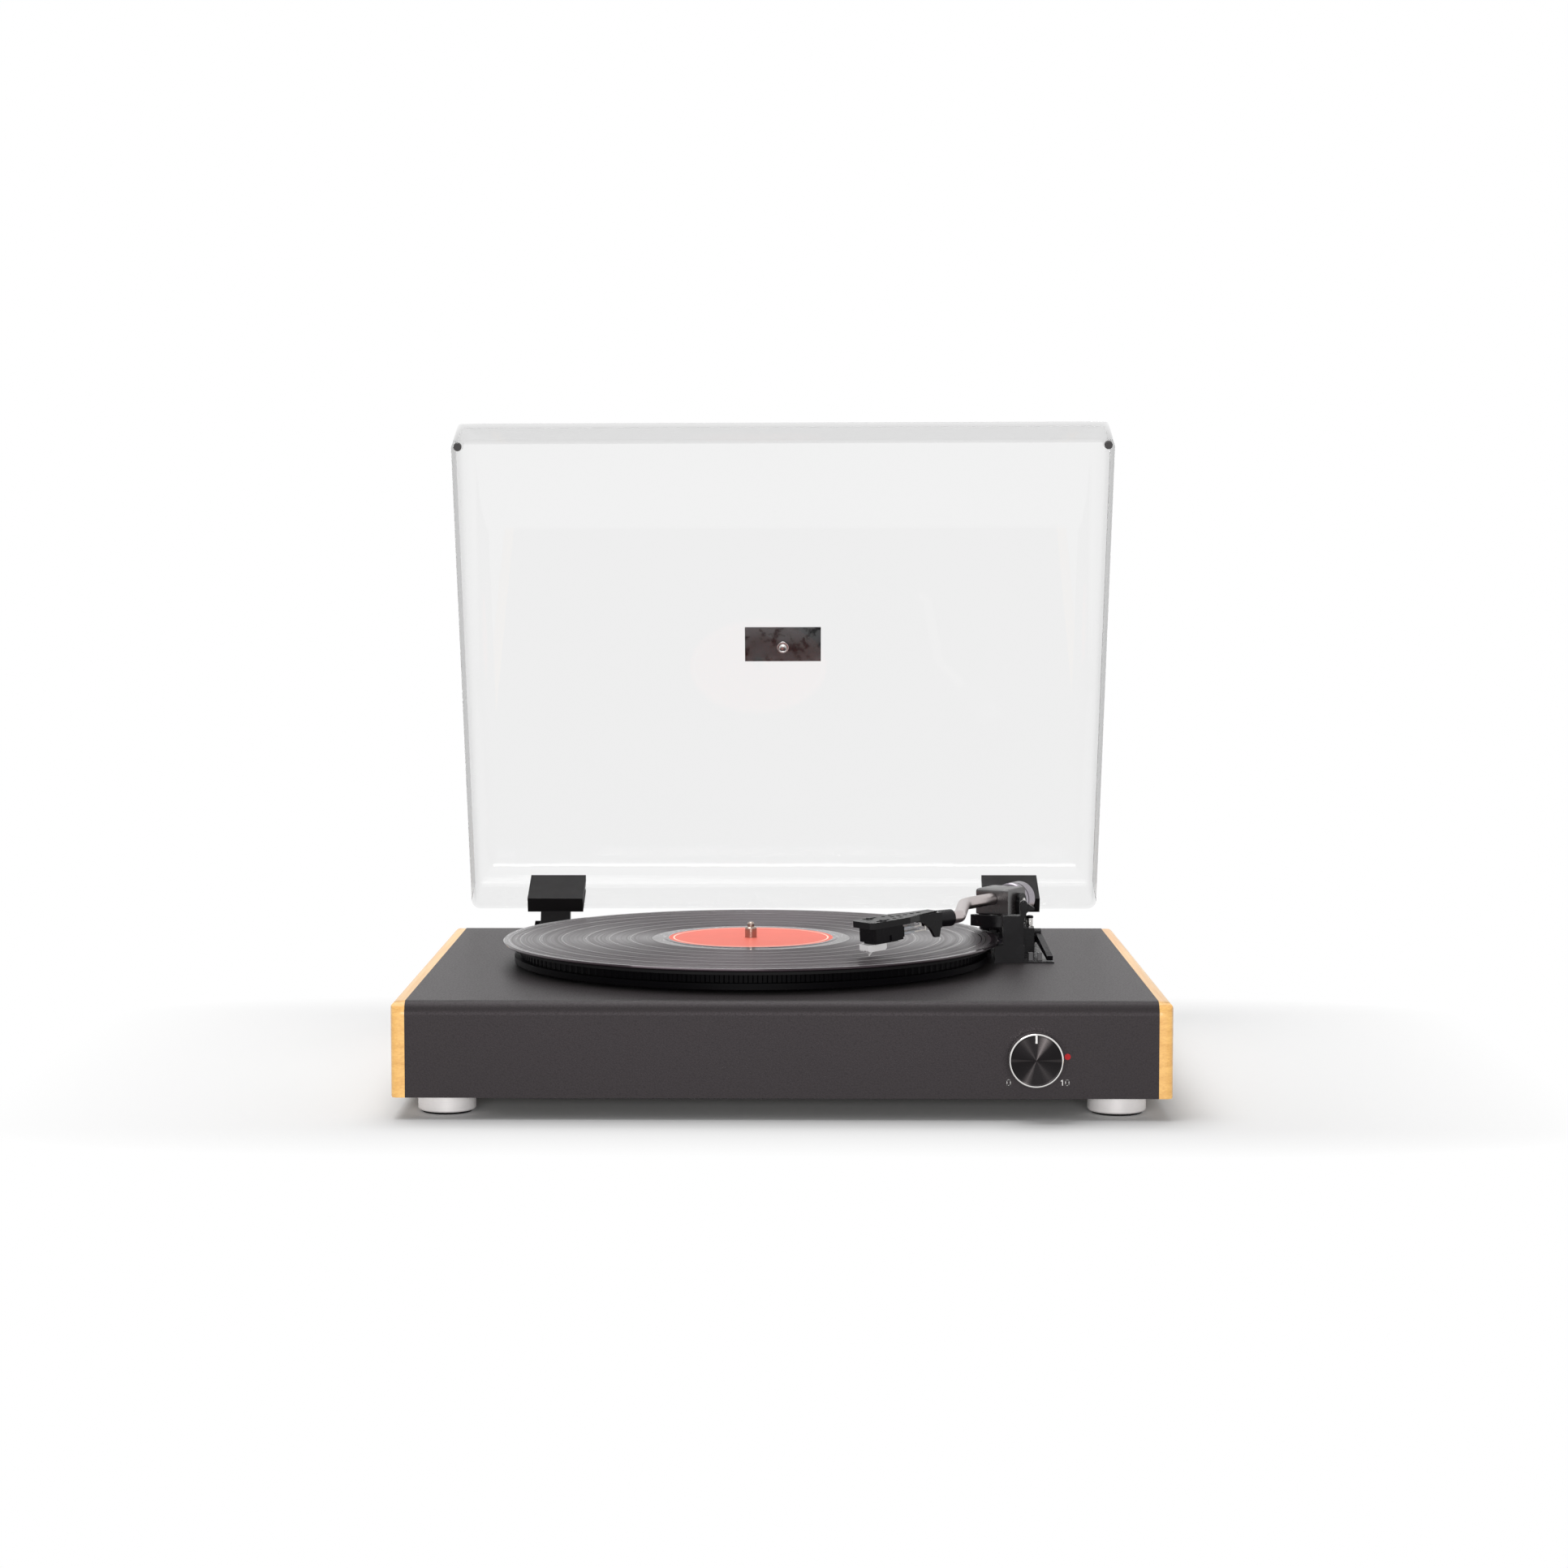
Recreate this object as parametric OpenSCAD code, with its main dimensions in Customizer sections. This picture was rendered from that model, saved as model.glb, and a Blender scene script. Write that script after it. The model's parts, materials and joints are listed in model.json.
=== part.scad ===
// Belt-drive record player with a wrapped plinth, wooden cheeks, an S-shaped tonearm and a
// clear dust cover that stands open. Lengths are in millimetres and angles in degrees.
// X runs to the right, Y to the back and Z up. Z = 0 is the table top.

/* [Plinth] */
// Width over both wooden cheeks
plinth_w = 436; // [420:1:470]
// Depth from the front face to the rear face
plinth_d = 350; // [345:1:380]
// Height of the case without its feet
plinth_h = 54; // [48:1:70]
// Thickness of each wooden cheek
cheek_t = 8; // [6:0.5:12]
// Rounding of the cheeks' outer edges
cheek_round = 4.5; // [2:0.5:5.5]
// Thickness of the wrapped top and front board
board_t = 9; // [6:0.5:12]
// Rounding of the long edge between front and top
front_round = 7.5; // [3:0.5:8]
// Thickness of the rear panel
rear_t = 6; // [4:0.5:10]
// Thickness of the bottom cover
cover_t = 3; // [2:0.5:5]

/* [Feet] */
// Height from the table to the case
foot_h = 12.5; // [9:0.5:20]
// Diameter of a foot
foot_d = 33; // [24:1:40]
// Thickness of the rubber pad under a foot
pad_t = 2; // [1:0.5:4]
// How far each foot's centre is in from the case's side
foot_inset_x = 28.5; // [26:0.5:60]
// How far each foot's centre is in from the case's front and rear
foot_inset_y = 31; // [28:1:60]

/* [Platter and record] */
// Spindle to the right of the middle, so negative is to the left
spindle_x = -19; // [-24:0.5:-15]
// Spindle's distance behind the front face
spindle_back = 180; // [179:0.5:186]
// Radius of the ribbed platter rim
platter_r = 140; // [130:1:142]
// How far the smooth lower flange stands proud of the ribs
flange_out = 4; // [2:0.5:6]
// Height of the lower flange
flange_h = 3.6; // [2.5:0.1:5]
// Height of the whole platter
platter_h = 8.8; // [8:0.1:14]
// Thickness of the platter's top plate and rim wall
platter_t = 3; // [2.5:0.1:4]
// Number of ribs round the rim
rim_ribs = 160; // [90:10:200]
// Depth of the grooves between the ribs
rib_depth = 0.9; // [0.5:0.1:1.5]
// Gap between the plinth and the platter
platter_gap = 1.8; // [1.5:0.1:4]
// Thickness of the rubber mat
mat_t = 2.5; // [1:0.1:4]
// Radius of the rubber mat
mat_r = 146; // [138:1:148]
// Diameter of a 12 inch record
record_d = 301.6; // [290:0.1:303]
// Thickness of the record at its rim and label
record_t = 1.9; // [1.4:0.1:2.4]
// Depth of the groove area below rim and label
groove_drop = 0.3; // [0.1:0.05:0.5]
// Radius of the paper label
label_r = 50; // [45:0.5:52]
// Spindle radius
spindle_r = 3.6; // [3.5:0.01:3.6]
// Straight height of the spindle above the record
spindle_up = 5.5; // [5:0.5:8]
// Radius of the spindle's bearing shaft
bearing_r = 3; // [2.5:0.1:3.4]
// Running clearance of every shaft in its bore, on the radius
run_gap = 0.05; // [0.03:0.01:0.08]

/* [Drive] */
// Radius of the belt ring under the platter
belt_ring_r = 92; // [85:1:100]
// Radius of the motor pulley's waist
pulley_r = 6.5; // [5:0.1:8]
// Distance between platter axis and motor axis
motor_reach = 113; // [110:0.5:118]
// Direction of the motor from the spindle, seen from above
motor_turn = 140; // [120:1:170]
// Belt width
belt_w = 3.6; // [3:0.1:4]
// Belt thickness
belt_t = 0.8; // [0.5:0.1:1.2]
// Motor can radius
motor_r = 16; // [12:0.5:18]
// Motor can height
motor_h = 22; // [16:0.5:26]

/* [Tonearm] */
// Tonearm pivot to the right of the middle
arm_x = 138; // [137:0.5:142]
// Tonearm pivot behind the front face
arm_back = 240; // [236:0.5:246]
// Distance from pivot to stylus
arm_len = 176.5; // [170:0.5:184]
// Angle from straight ahead to the stylus while it plays
arm_turn = 29.5; // [28:0.5:31]
// Offset angle of the headshell
head_offset = 22; // [20:0.5:24]
// Height of the tube's axis above the record
arm_over_record = 18.3; // [17.5:0.1:20]
// Tube diameter
tube_d = 7.5; // [6:0.1:8]
// Bend radius of the S nearest the pivot
bend_r1 = 22; // [14:1:26]
// Bend radius of the S nearest the headshell
bend_r2 = 13; // [9:1:14]
// Stylus to the back end of the headshell's collar
collar_end = 62.5; // [60:0.5:68]
// Collar length
collar_len = 13; // [11:0.5:22]
// Collar diameter
collar_d = 10; // [9.5:0.1:12]
// Headshell width
head_w = 20; // [17:0.5:21]
// How far the headshell slopes down to its front
head_slope = 3.5; // [0:0.5:5]
// Counterweight radius
weight_r = 10.6; // [9:0.1:11.5]
// Counterweight length
weight_len = 15; // [13:1:22]
// Gap between the pivot block and the counterweight
weight_gap = 1.2; // [0.8:0.1:4]
// Width of the pivot block
block_w = 22; // [20:0.5:22.5]
// Length of the pivot block
block_len = 24.5; // [21:0.5:26]

/* [Dust cover] */
// Lid opening angle
lid_open = 70; // [55:1:75]
// How far the lid stays inside the plinth on each side
lid_inset = 10; // [8:0.5:14]
// How far the lid's front stays behind the plinth's front
lid_front_in = 24; // [20:0.5:24.5]
// How far the lid's rear wall stands behind the plinth
lid_rear_out = 2; // [1:0.5:3]
// Height of the lid's walls
lid_h = 47; // [46.5:0.5:60]
// Wall thickness of the lid
lid_wall = 3; // [2:0.1:3.2]
// Outside rounding between the lid's top and its walls
lid_round = 17; // [8:0.5:20]
// Outside rounding of the lid's upright corners
lid_corner = 6; // [4:0.5:8]
// Gap between the closed lid's rim and the plinth
rim_gap = 2.5; // [2:0.1:4]
// Width of the plate on the lid
plate_w = 50; // [40:1:70]
// Height of the plate on the lid
plate_h = 24; // [15:0.5:30]
// How far the plate lies in front of the lid's middle
plate_ahead = 6.8; // [0:0.1:20]

/* [Hinges] */
// Each hinge's distance from the middle
hinge_x = 152; // [130:1:165]
// Width of the block that grips the lid
hinge_w = 37; // [30:1:44]
// Height of the block inside the lid
hinge_h = 36; // [20:0.5:37]
// Hinge axis behind the plinth's rear face
hinge_back = 15.5; // [15:0.5:20]
// Hinge axis below the plinth's top
hinge_drop = 3.5; // [2:0.5:6]
// Width of the moving knuckle
knuckle_w = 19.5; // [14:0.5:22]
// Hinge pin radius
pin_r = 2; // [1.5:0.1:2.5]

/* [Controls] */
// Knob to the right of the middle
knob_x = 141.1; // [120:0.1:150]
// Knob's height above the case's underside
knob_up = 23.2; // [20:0.1:30]
// Knob diameter
knob_d = 30; // [24:0.5:34]
// How far the knob stands out
knob_out = 12.5; // [9:0.5:18]
// Lamp's distance to the right of the knob's centre
led_right = 18.1; // [18:0.1:30]
// Lamp's height above the knob's centre
led_up = 0.5; // [-5:0.1:5]
// Lamp diameter
led_d = 3.4; // [2:0.1:5]

/* [Hidden] */
$fn = 64;
eps = 0.01;

// Heights
case_z = foot_h;
deck_z = foot_h + plinth_h;
platter_z = deck_z + platter_gap;
mat_z = platter_z + platter_h;
record_z = mat_z + mat_t - groove_drop;
record_top = record_z + record_t;
arm_z = record_top + arm_over_record;

// Open lid, measured from the hinge axis, and the centred frame that follows from it
shut_back = lid_rear_out - hinge_back;
shut_top = rim_gap + lid_h + hinge_drop;
lid_len = plinth_d + lid_rear_out - lid_front_in;
lid_w = plinth_w - 2 * lid_inset;
lid_reach = (shut_back - lid_round) * cos(lid_open) + (shut_top - lid_round) * sin(lid_open) + lid_round;
front_y = -(plinth_d + hinge_back + lid_reach - knob_out) / 2;
back_y = front_y + plinth_d;
hinge_y = back_y + hinge_back;
hinge_z = deck_z - hinge_drop;
side_x = plinth_w / 2 - cheek_t;

// Platter, drive and tonearm centres
spindle_y = front_y + spindle_back;
hub_bore = spindle_r - 0.3;
pin_gap = 0.2;
motor_x = spindle_x + motor_reach * cos(motor_turn);
motor_y = spindle_y + motor_reach * sin(motor_turn);
arm_y = front_y + arm_back;
knob_z = case_z + knob_up;
led_z = knob_z + led_up;
marker_w = 1.1;
marker_from = 9.6;

// Tonearm
tube_r = tube_d / 2;
tip_gap = 0.3;
plate_z = arm_z - 1.3;
plate_t = 3.8;
tilt_z = arm_z - 2;
block_under = 10;
block_over = 6.2;
block_front = block_len / 2 + 2.75;
block_back = block_len - block_front;
weight_drop = 3.1;
ear_t = 2.5;
ear_gap = 0.6;
yoke_t = 3.5;
yoke_z = arm_z - block_under - 1.5 - yoke_t;
yoke_r = block_w / 2 + ear_gap + ear_t;
swing_r = 3;
tilt_r = 1.5;
bend_1 = [50, 2];
bend_2 = [arm_len - (collar_end + 7) * cos(head_offset), -(collar_end + 7) * sin(head_offset)];
tube_exit = [arm_len - (collar_end - 6) * cos(head_offset), -(collar_end - 6) * sin(head_offset)];

// Tonearm base, armrest and cueing device
base_t = 0.8;
base_left = arm_x - 9;
base_right = arm_x + 27;
base_front = arm_y - 70.5;
base_rear = arm_y + 26;
base_block_w = 18;
base_block_h = 10.6;
step_r = 18;
step_h = 8.5;
drum_r = 14.5;
drum_top = yoke_z - 1.5;
stem_r = 9;
rest_x = base_left + 5;
rest_w = 10.8;
rest_l = 10;
rest_top = arm_z - tube_r - 0.5;
clip_x = rest_x + rest_w + 1.8;
clip_z = arm_z + 2.6;
clip_y = base_front + 5;
clip_w = 4;
clip_pin_r = 1.3;
lift_arc_r = 24.5;
lift_arc_w = 4;
lift_travel = 5;
lift_bar_h = 7;
lift_bar_z = rest_top - lift_travel - lift_bar_h;
lift_rod_r = 2;
lift_rod = [arm_x + 7.5, arm_y - lift_arc_r + 0.8];
cue_turn = 45;
cue_arm = lift_travel / (2 * sin(cue_turn / 2));
cue_y = arm_y - lift_arc_r + cue_arm;
cue_z = deck_z + 10.8;
cue_r = 1.8;
cue_tip_r = 1.5;
cue_left = base_left + 4.4;
cue_hub_x = arm_x + 18.6;
cue_handle = 48.7;
cue_rest_angle = 9.5;
slider_xs = [arm_x + 13.5, arm_x + 19];
slider_y = base_front + 11;
slider_travel = 5;
slot_w = 3;
slot_l = 3 + slider_travel + 0.8;

// Hinges and controls
bracket_w = 27;
bracket_t = 3;
bracket_plate_w = 42;
bracket_screw_x = 16.5;
bracket_screw_z = hinge_z - 8;
pot_bush_r = 4.5;
pot_shaft_r = 3;
knob_gap = 0.6;

// Socket plate in the rear panel
port_w = 150;
port_h = 30;
port_x = -40;
port_z = case_z + cover_t + 5;

// Corner blocks, feet and base board
block_s = 34;
block_top = 20;
// Amplifier board, and the gap that it keeps to the corner block beside it
amp_w = 110;
amp_d = 70;
amp_gap = 0.4;
foot_spots = [for (sy = [0, 1], sx = [-1, 1])
    [sx * (plinth_w / 2 - foot_inset_x), sy == 0 ? front_y + foot_inset_y : back_y - foot_inset_y]];
cover_spots = [for (y = [front_y + board_t + 8, back_y - rear_t - 8], x = [-95, 0, 95]) [x, y]];
screw_r = 1.9;
pad_seat = 0.6;
screw_seat = pad_t + 4;

// Bearing and platter
bush_r = 7;
bush_len = 24;
bush_flange_r = 10;
hub_r = 14;
ring_wall = 2.5;
belt_z = platter_z + 0.6;

// Motor and pulley
pulley_flange_r = pulley_r + 2;
motor_shaft_r = 1;
motor_top = deck_z - board_t - 2;

// Counterweight's shaft, headshell slots, cartridge and stylus guard
weight_shaft_r = 3.5;
slot_y = 6.2;
slot_half = 1.35;
head_fix = -6.5;
cart_len = 20.5;
cart_front = 0.3;
cart_w = 15;
cart_bottom = 7.1;
guard_front = 3.7;
guard_len = 13.8;
guard_h = 4;

// Lid bumpers and bosses
bumper_in = 4.2;
bumper_r = 2.5;
boss_r = 3.4;

// Sockets, from the rear panel's middle
line_xs = [-58, -42];
line_r = 4.2;
clip_xs = [-18, 2];
dc_at = 50;
dc_r = 4.5;

/* ---------- shared shapes ---------- */

// Square with any of its four corners rounded: [left bottom, right bottom, right top, left top]
module rounded(w, h, r) {
    difference() {
        square([w, h]);
        for (i = [0:3]) if (r[i] > 0) {
            cx = (i == 1 || i == 2) ? w : 0;
            cy = (i >= 2) ? h : 0;
            sx = cx > 0 ? -1 : 1;
            sy = cy > 0 ? -1 : 1;
            translate([cx, cy]) scale([sx, sy]) corner_waste(r[i]);
        }
    }
}

module corner_waste(r) {
    difference() {
        translate([-1, -1]) square(r + 1);
        translate([r, r]) circle(r);
    }
}

// Extrudes a profile drawn in (Y, Z) along X from x0 to x1
module along_x(x0, x1) {
    translate([x0, 0, 0]) rotate([90, 0, 90]) linear_extrude(x1 - x0) children();
}

// Extrudes a profile drawn in (X, Z) along Y from y0 to y1
module along_y(y0, y1) {
    translate([0, y1, 0]) rotate([90, 0, 0]) linear_extrude(y1 - y0) children();
}

module rod_x(r, x0, x1) {
    translate([x0, 0, 0]) rotate([0, 90, 0]) cylinder(r = r, h = x1 - x0);
}

module rod_y(r, y0, y1) {
    translate([0, y1, 0]) rotate([90, 0, 0]) cylinder(r = r, h = y1 - y0);
}

module ring(r_out, r_in, h) {
    difference() {
        cylinder(r = r_out, h = h);
        translate([0, 0, -1]) cylinder(r = r_in, h = h + 2);
    }
}

// Round rod through three points in the XY plane, with its two corners as true arcs
function unit(v) = v / norm(v);
function turn_of(a, b) = atan2(a[0] * b[1] - a[1] * b[0], a[0] * b[0] + a[1] * b[1]);

module straight(a, b, r) {
    d = b - a;
    translate([a[0], a[1], 0]) rotate([0, 90, atan2(d[1], d[0])]) cylinder(r = r, h = norm(d));
}

module elbow(corner, into, out, bend, r) {
    t = turn_of(into, out);
    side = t > 0 ? 1 : -1;
    back = bend * tan(abs(t) / 2);
    start = corner - into * back;
    centre = start + bend * side * [-into[1], into[0]];
    first = atan2(start[1] - centre[1], start[0] - centre[0]);
    translate([centre[0], centre[1], 0])
        rotate([0, 0, side > 0 ? first : first - abs(t)])
            rotate_extrude(angle = abs(t)) translate([bend, 0]) circle(r, $fn = 32);
}

/* ---------- plinth ---------- */

// Front and top in one wrapped board, seen from the side
module shell_profile() {
    difference() {
        translate([front_y, case_z]) rounded(plinth_d, plinth_h, [0, 0, 0, front_round]);
        translate([front_y + board_t, case_z - 1])
            rounded(plinth_d, plinth_h - board_t + 1, [0, 0, 0, 2]);
    }
}

module plinth_shell() {
    color([0.16, 0.15, 0.155]) difference() {
        along_x(-side_x, side_x) shell_profile();
        translate([spindle_x, spindle_y, deck_z - board_t - 1]) cylinder(r = bush_r, h = board_t + 2);
        translate([motor_x, motor_y, deck_z - board_t - 1])
            cylinder(r = pulley_flange_r + 2, h = board_t + 2);
        translate([arm_x, arm_y, deck_z - board_t - 1]) cylinder(r = stem_r, h = board_t + 2);
        for (s = [-1, 1]) translate([motor_x + s * (motor_r + 3.5), motor_y, deck_z - board_t - 1])
            cylinder(r = 1.5, h = 5.5);
        translate([knob_x, front_y, knob_z]) rod_y(pot_bush_r, -1, board_t + 1);
        translate([knob_x + led_right, front_y, led_z]) rod_y(led_d / 2, -1, board_t + 1);
        for (x = slider_xs) translate([x - slot_w / 2, slider_y - 1.9, deck_z - board_t - 1])
            cube([slot_w, slot_l, board_t + 2]);
    }
}

// One wooden side board: rounded along its top, its front and its upright outer edges
module cheek() {
    intersection() {
        along_x(side_x, plinth_w / 2)
            translate([front_y, case_z]) rounded(plinth_d, plinth_h, [0, 0, 2, front_round]);
        along_y(front_y, back_y)
            translate([side_x, case_z]) rounded(cheek_t, plinth_h, [0, 1, cheek_round, 0]);
        translate([side_x, front_y, case_z]) linear_extrude(plinth_h)
            rounded(cheek_t, plinth_d, [0, cheek_round, cheek_round, 0]);
    }
}

module left_cheek() {
    color([0.90, 0.68, 0.40]) mirror([1, 0, 0]) cheek();
}

module right_cheek() {
    color([0.90, 0.68, 0.40]) cheek();
}

// Connector field in the rear panel

module rear_panel() {
    z0 = case_z + cover_t;
    color([0.16, 0.15, 0.155]) difference() {
        translate([-side_x, back_y - rear_t, z0]) cube([2 * side_x, rear_t, deck_z - board_t - z0]);
        translate([port_x - port_w / 2 + 6, back_y - rear_t - 1, port_z + 4])
            cube([port_w - 12, rear_t + 2, port_h - 8]);
        for (s = [-1, 1], dx = [-1, 1])
            translate([s * hinge_x + dx * bracket_screw_x, back_y, bracket_screw_z])
                rod_y(1.5, -rear_t - 1, 1);
        // Screws of the connector plate
        for (dx = [-1, 1]) translate([port_x + dx * (port_w / 2 - 3), back_y, port_z + port_h / 2])
            rod_y(1.2, -rear_t - 1, 1);
    }
}

// Bottom cover with its vent slots
module bottom_cover() {
    y0 = front_y + board_t;
    color([0.2, 0.19, 0.19]) difference() {
        translate([-side_x, y0, case_z]) cube([2 * side_x, back_y - y0, cover_t]);
        for (i = [0:7]) translate([60 + 10 * i, front_y + 120, case_z - 1]) cube([3, 60, cover_t + 2]);
        for (p = foot_spots) translate([p[0], p[1], case_z - 1]) cylinder(r = screw_r, h = cover_t + 2);
        for (p = cover_spots) translate([p[0], p[1], case_z - 1]) cylinder(r = 1.6, h = cover_t + 2);
    }
}

// Glue blocks in the four corners take the feet's screws

module corner_blocks() {
    z0 = case_z + cover_t;
    color([0.72, 0.60, 0.45]) difference() {
        for (p = foot_spots) {
            x0 = max(-side_x, min(side_x - block_s, p[0] - block_s / 2));
            y0 = max(front_y + board_t, min(back_y - rear_t - block_s, p[1] - block_s / 2));
            translate([x0, y0, z0]) cube([block_s, block_s, block_top]);
        }
        for (p = foot_spots) translate([p[0], p[1], z0 - 1]) cylinder(r = screw_r, h = 13);
    }
}

// Turned metal feet, each with a seat for its pad and a pocket for its screw
module feet() {
    r = foot_d / 2;
    h = foot_h - pad_t + pad_seat;
    z0 = pad_t - pad_seat;
    color([0.85, 0.83, 0.80]) for (p = foot_spots) translate([p[0], p[1], z0]) difference() {
        rotate_extrude() polygon([[0, 0], [r - 0.8, 0], [r, 0.8], [r, h - 0.8], [r - 0.8, h], [0, h]]);
        translate([0, 0, -1]) cylinder(r = r - 2, h = 1 + pad_seat);
        translate([0, 0, -1]) cylinder(r = 4, h = 1 + screw_seat - z0);
        translate([0, 0, -1]) cylinder(r = screw_r, h = h + 2);
    }
}

module foot_pads() {
    color([0.06, 0.06, 0.06]) for (p = foot_spots) translate([p[0], p[1], 0]) rotate_extrude()
        polygon([[5, 0], [foot_d / 2 - 2.6, 0], [foot_d / 2 - 2, 0.6], [foot_d / 2 - 2, pad_t],
            [5, pad_t]]);
}

// Pan-head screw standing on its head at z = 0
module pan_screw(head_r, head_h, shank_r, len) {
    cylinder(r = head_r, h = head_h);
    translate([0, 0, head_h - eps]) cylinder(r = shank_r, h = len + eps);
}

module foot_screws() {
    head_h = 2.4;
    color("silver") for (p = foot_spots) translate([p[0], p[1], screw_seat - head_h])
        pan_screw(3.6, head_h, screw_r, case_z + cover_t + 11 - screw_seat);
}

module cover_screws() {
    color("dimgray") for (p = cover_spots) translate([p[0], p[1], case_z - 1.4])
        pan_screw(2.8, 1.4, 1.55, cover_t + 0);
}

/* ---------- platter, record and drive ---------- */

module bearing_bush() {
    z0 = deck_z - bush_len;
    color([0.78, 0.62, 0.30]) translate([spindle_x, spindle_y, z0]) difference() {
        union() {
            cylinder(r = bush_r, h = bush_len);
            translate([0, 0, bush_len - board_t - 2]) cylinder(r = bush_flange_r, h = 2);
        }
        translate([0, 0, 2]) cylinder(r = bearing_r + run_gap, h = bush_len);
    }
}

// Spindle with a stepped and rounded tip
module spindle() {
    z0 = deck_z - bush_len + 2.2;
    tip = record_top + spindle_up;
    color([0.86, 0.86, 0.86]) translate([spindle_x, spindle_y, 0]) rotate_extrude() polygon(concat(
        [[0, z0], [bearing_r - 0.5, z0], [bearing_r, z0 + 0.5], [bearing_r, deck_z + 0.6],
         [hub_bore, deck_z + 0.6], [hub_bore, record_top + pin_gap], [spindle_r, record_top + pin_gap],
         [spindle_r, tip], [spindle_r - 0.7, tip + 0.9],
         [2.1, tip + 1.1], [2.1, tip + 2.6]],
        [for (a = [0:15:90]) [2.1 * cos(a), tip + 2.6 + 1.4 * sin(a)]]));
}

// Rim outline: ribs with slightly narrower feet than gaps, worked out round the circle
module ribbed_disc() {
    step = 360 / rim_ribs;
    polygon([for (i = [0:rim_ribs - 1], k = [0:3])
        let (a = step * (i + [0, 0.12, 0.5, 0.62][k]))
            let (r = platter_r - (k == 0 || k == 3 ? rib_depth : 0)) [r * cos(a), r * sin(a)]]);
}

module platter() {
    flange_r = platter_r + flange_out;
    top_z = platter_h - platter_t;
    well_r = 8;
    lip_h = 0.8;
    color([0.05, 0.05, 0.055]) translate([spindle_x, spindle_y, platter_z]) difference() {
        union() {
            cylinder(r = flange_r, h = flange_h, $fn = 128);
            translate([0, 0, flange_h - 0.5]) linear_extrude(platter_h - flange_h) ribbed_disc();
            translate([0, 0, platter_h - lip_h]) cylinder(r = platter_r + 0.3, h = lip_h, $fn = 128);
        }
        // Underside: outer channel, belt ring and hub stay
        translate([0, 0, -1]) ring(platter_r - rib_depth - platter_t, belt_ring_r, top_z + 1);
        translate([0, 0, -1]) ring(belt_ring_r - ring_wall, hub_r, top_z + 1);
        translate([0, 0, -1]) cylinder(r = hub_bore, h = platter_h + 2);
        translate([0, 0, -1]) cylinder(r = well_r, h = 1.4);
        // Four finger holes over the belt
        for (a = [motor_turn:90:motor_turn + 270]) rotate(a) translate([motor_reach, 0, top_z - 1])
            cylinder(r = 10, h = platter_t + 2);
    }
}

module slip_mat() {
    color([0.09, 0.09, 0.09]) translate([spindle_x, spindle_y, mat_z]) difference() {
        cylinder(r = mat_r, h = mat_t, $fn = 128);
        translate([0, 0, -1]) cylinder(r = spindle_r + 0.15, h = mat_t + 2);
        translate([0, 0, mat_t - 0.4]) cylinder(r = label_r + 3, h = 1);
        for (r = [66:16:130]) translate([0, 0, mat_t - 0.3]) ring(r + 1.5, r, 1);
    }
}

// Pressed disc: raised rim bead, groove area and raised label land with a shallow label seat
module record() {
    r = record_d / 2;
    seat = 0.15;
    land = label_r + 2;
    h = record_t;
    d = groove_drop;
    color([0.10, 0.09, 0.10]) translate([spindle_x, spindle_y, record_z]) rotate_extrude($fn = 128)
        polygon([[spindle_r + 0.04, 0], [land, 0], [land + 1, d], [r - 4, d], [r - 3, 0.1],
            [r - 0.6, 0.1], [r, 0.7], [r, h - 0.7], [r - 0.6, h - 0.1], [r - 3, h - 0.1], [r - 4, h - d],
            [land + 1, h - d], [land, h], [label_r, h], [label_r, h - seat],
            [spindle_r + 0.04, h - seat]]);
}

module record_label() {
    color([0.94, 0.42, 0.32]) translate([spindle_x, spindle_y, record_top - 0.15])
        ring(label_r, spindle_r + 0.04, 0.15);
}

module motor() {
    color([0.62, 0.62, 0.63]) translate([motor_x, motor_y, motor_top - motor_h]) difference() {
        union() {
            cylinder(r = motor_r, h = motor_h);
            translate([0, 0, motor_h - 1.5]) linear_extrude(1.5) {
                translate([-motor_r - 7, -6]) square([2 * motor_r + 14, 12]);
            }
            translate([0, 0, motor_h - eps]) cylinder(r = 4, h = 1.5 + eps);
        }
        translate([0, 0, 1]) cylinder(r = motor_shaft_r + run_gap, h = motor_h + 3);
        for (s = [-1, 1]) translate([s * (motor_r + 3.5), 0, motor_h - 4]) cylinder(r = 1.5, h = 6);
    }
}

module motor_screws() {
    color("dimgray") for (s = [-1, 1]) translate([motor_x + s * (motor_r + 3.5), motor_y, 0]) {
        translate([0, 0, motor_top - 3.5]) cylinder(r = 2.8, h = 2);
        translate([0, 0, motor_top - 1.5 - eps]) cylinder(r = 1.5, h = 8 + eps);
    }
}

// Rubber rings between the motor's flange and the deck board
module motor_grommets() {
    color([0.1, 0.1, 0.1]) for (s = [-1, 1])
        translate([motor_x + s * (motor_r + 3.5), motor_y, motor_top]) ring(3.6, 1.5, 2);
}

module motor_shaft() {
    color("silver") translate([motor_x, motor_y, motor_top - motor_h + 1.2])
        cylinder(r = motor_shaft_r, h = belt_z + belt_w + 0.8 - motor_top + motor_h - 1.2);
}

module motor_pulley() {
    z0 = belt_z - 0.7;
    h = belt_w + 1.4;
    f = pulley_flange_r;
    color([0.80, 0.66, 0.34]) translate([motor_x, motor_y, z0 - 4]) rotate_extrude() polygon([
        [motor_shaft_r, 0], [pulley_r - 1, 0], [pulley_r - 1, 3.3], [f, 3.3], [f, 4], [pulley_r, 4.4],
        [pulley_r, 3.6 + h], [f, 4 + h], [f, 4.6 + h], [motor_shaft_r, 4.6 + h]]);
}

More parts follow.
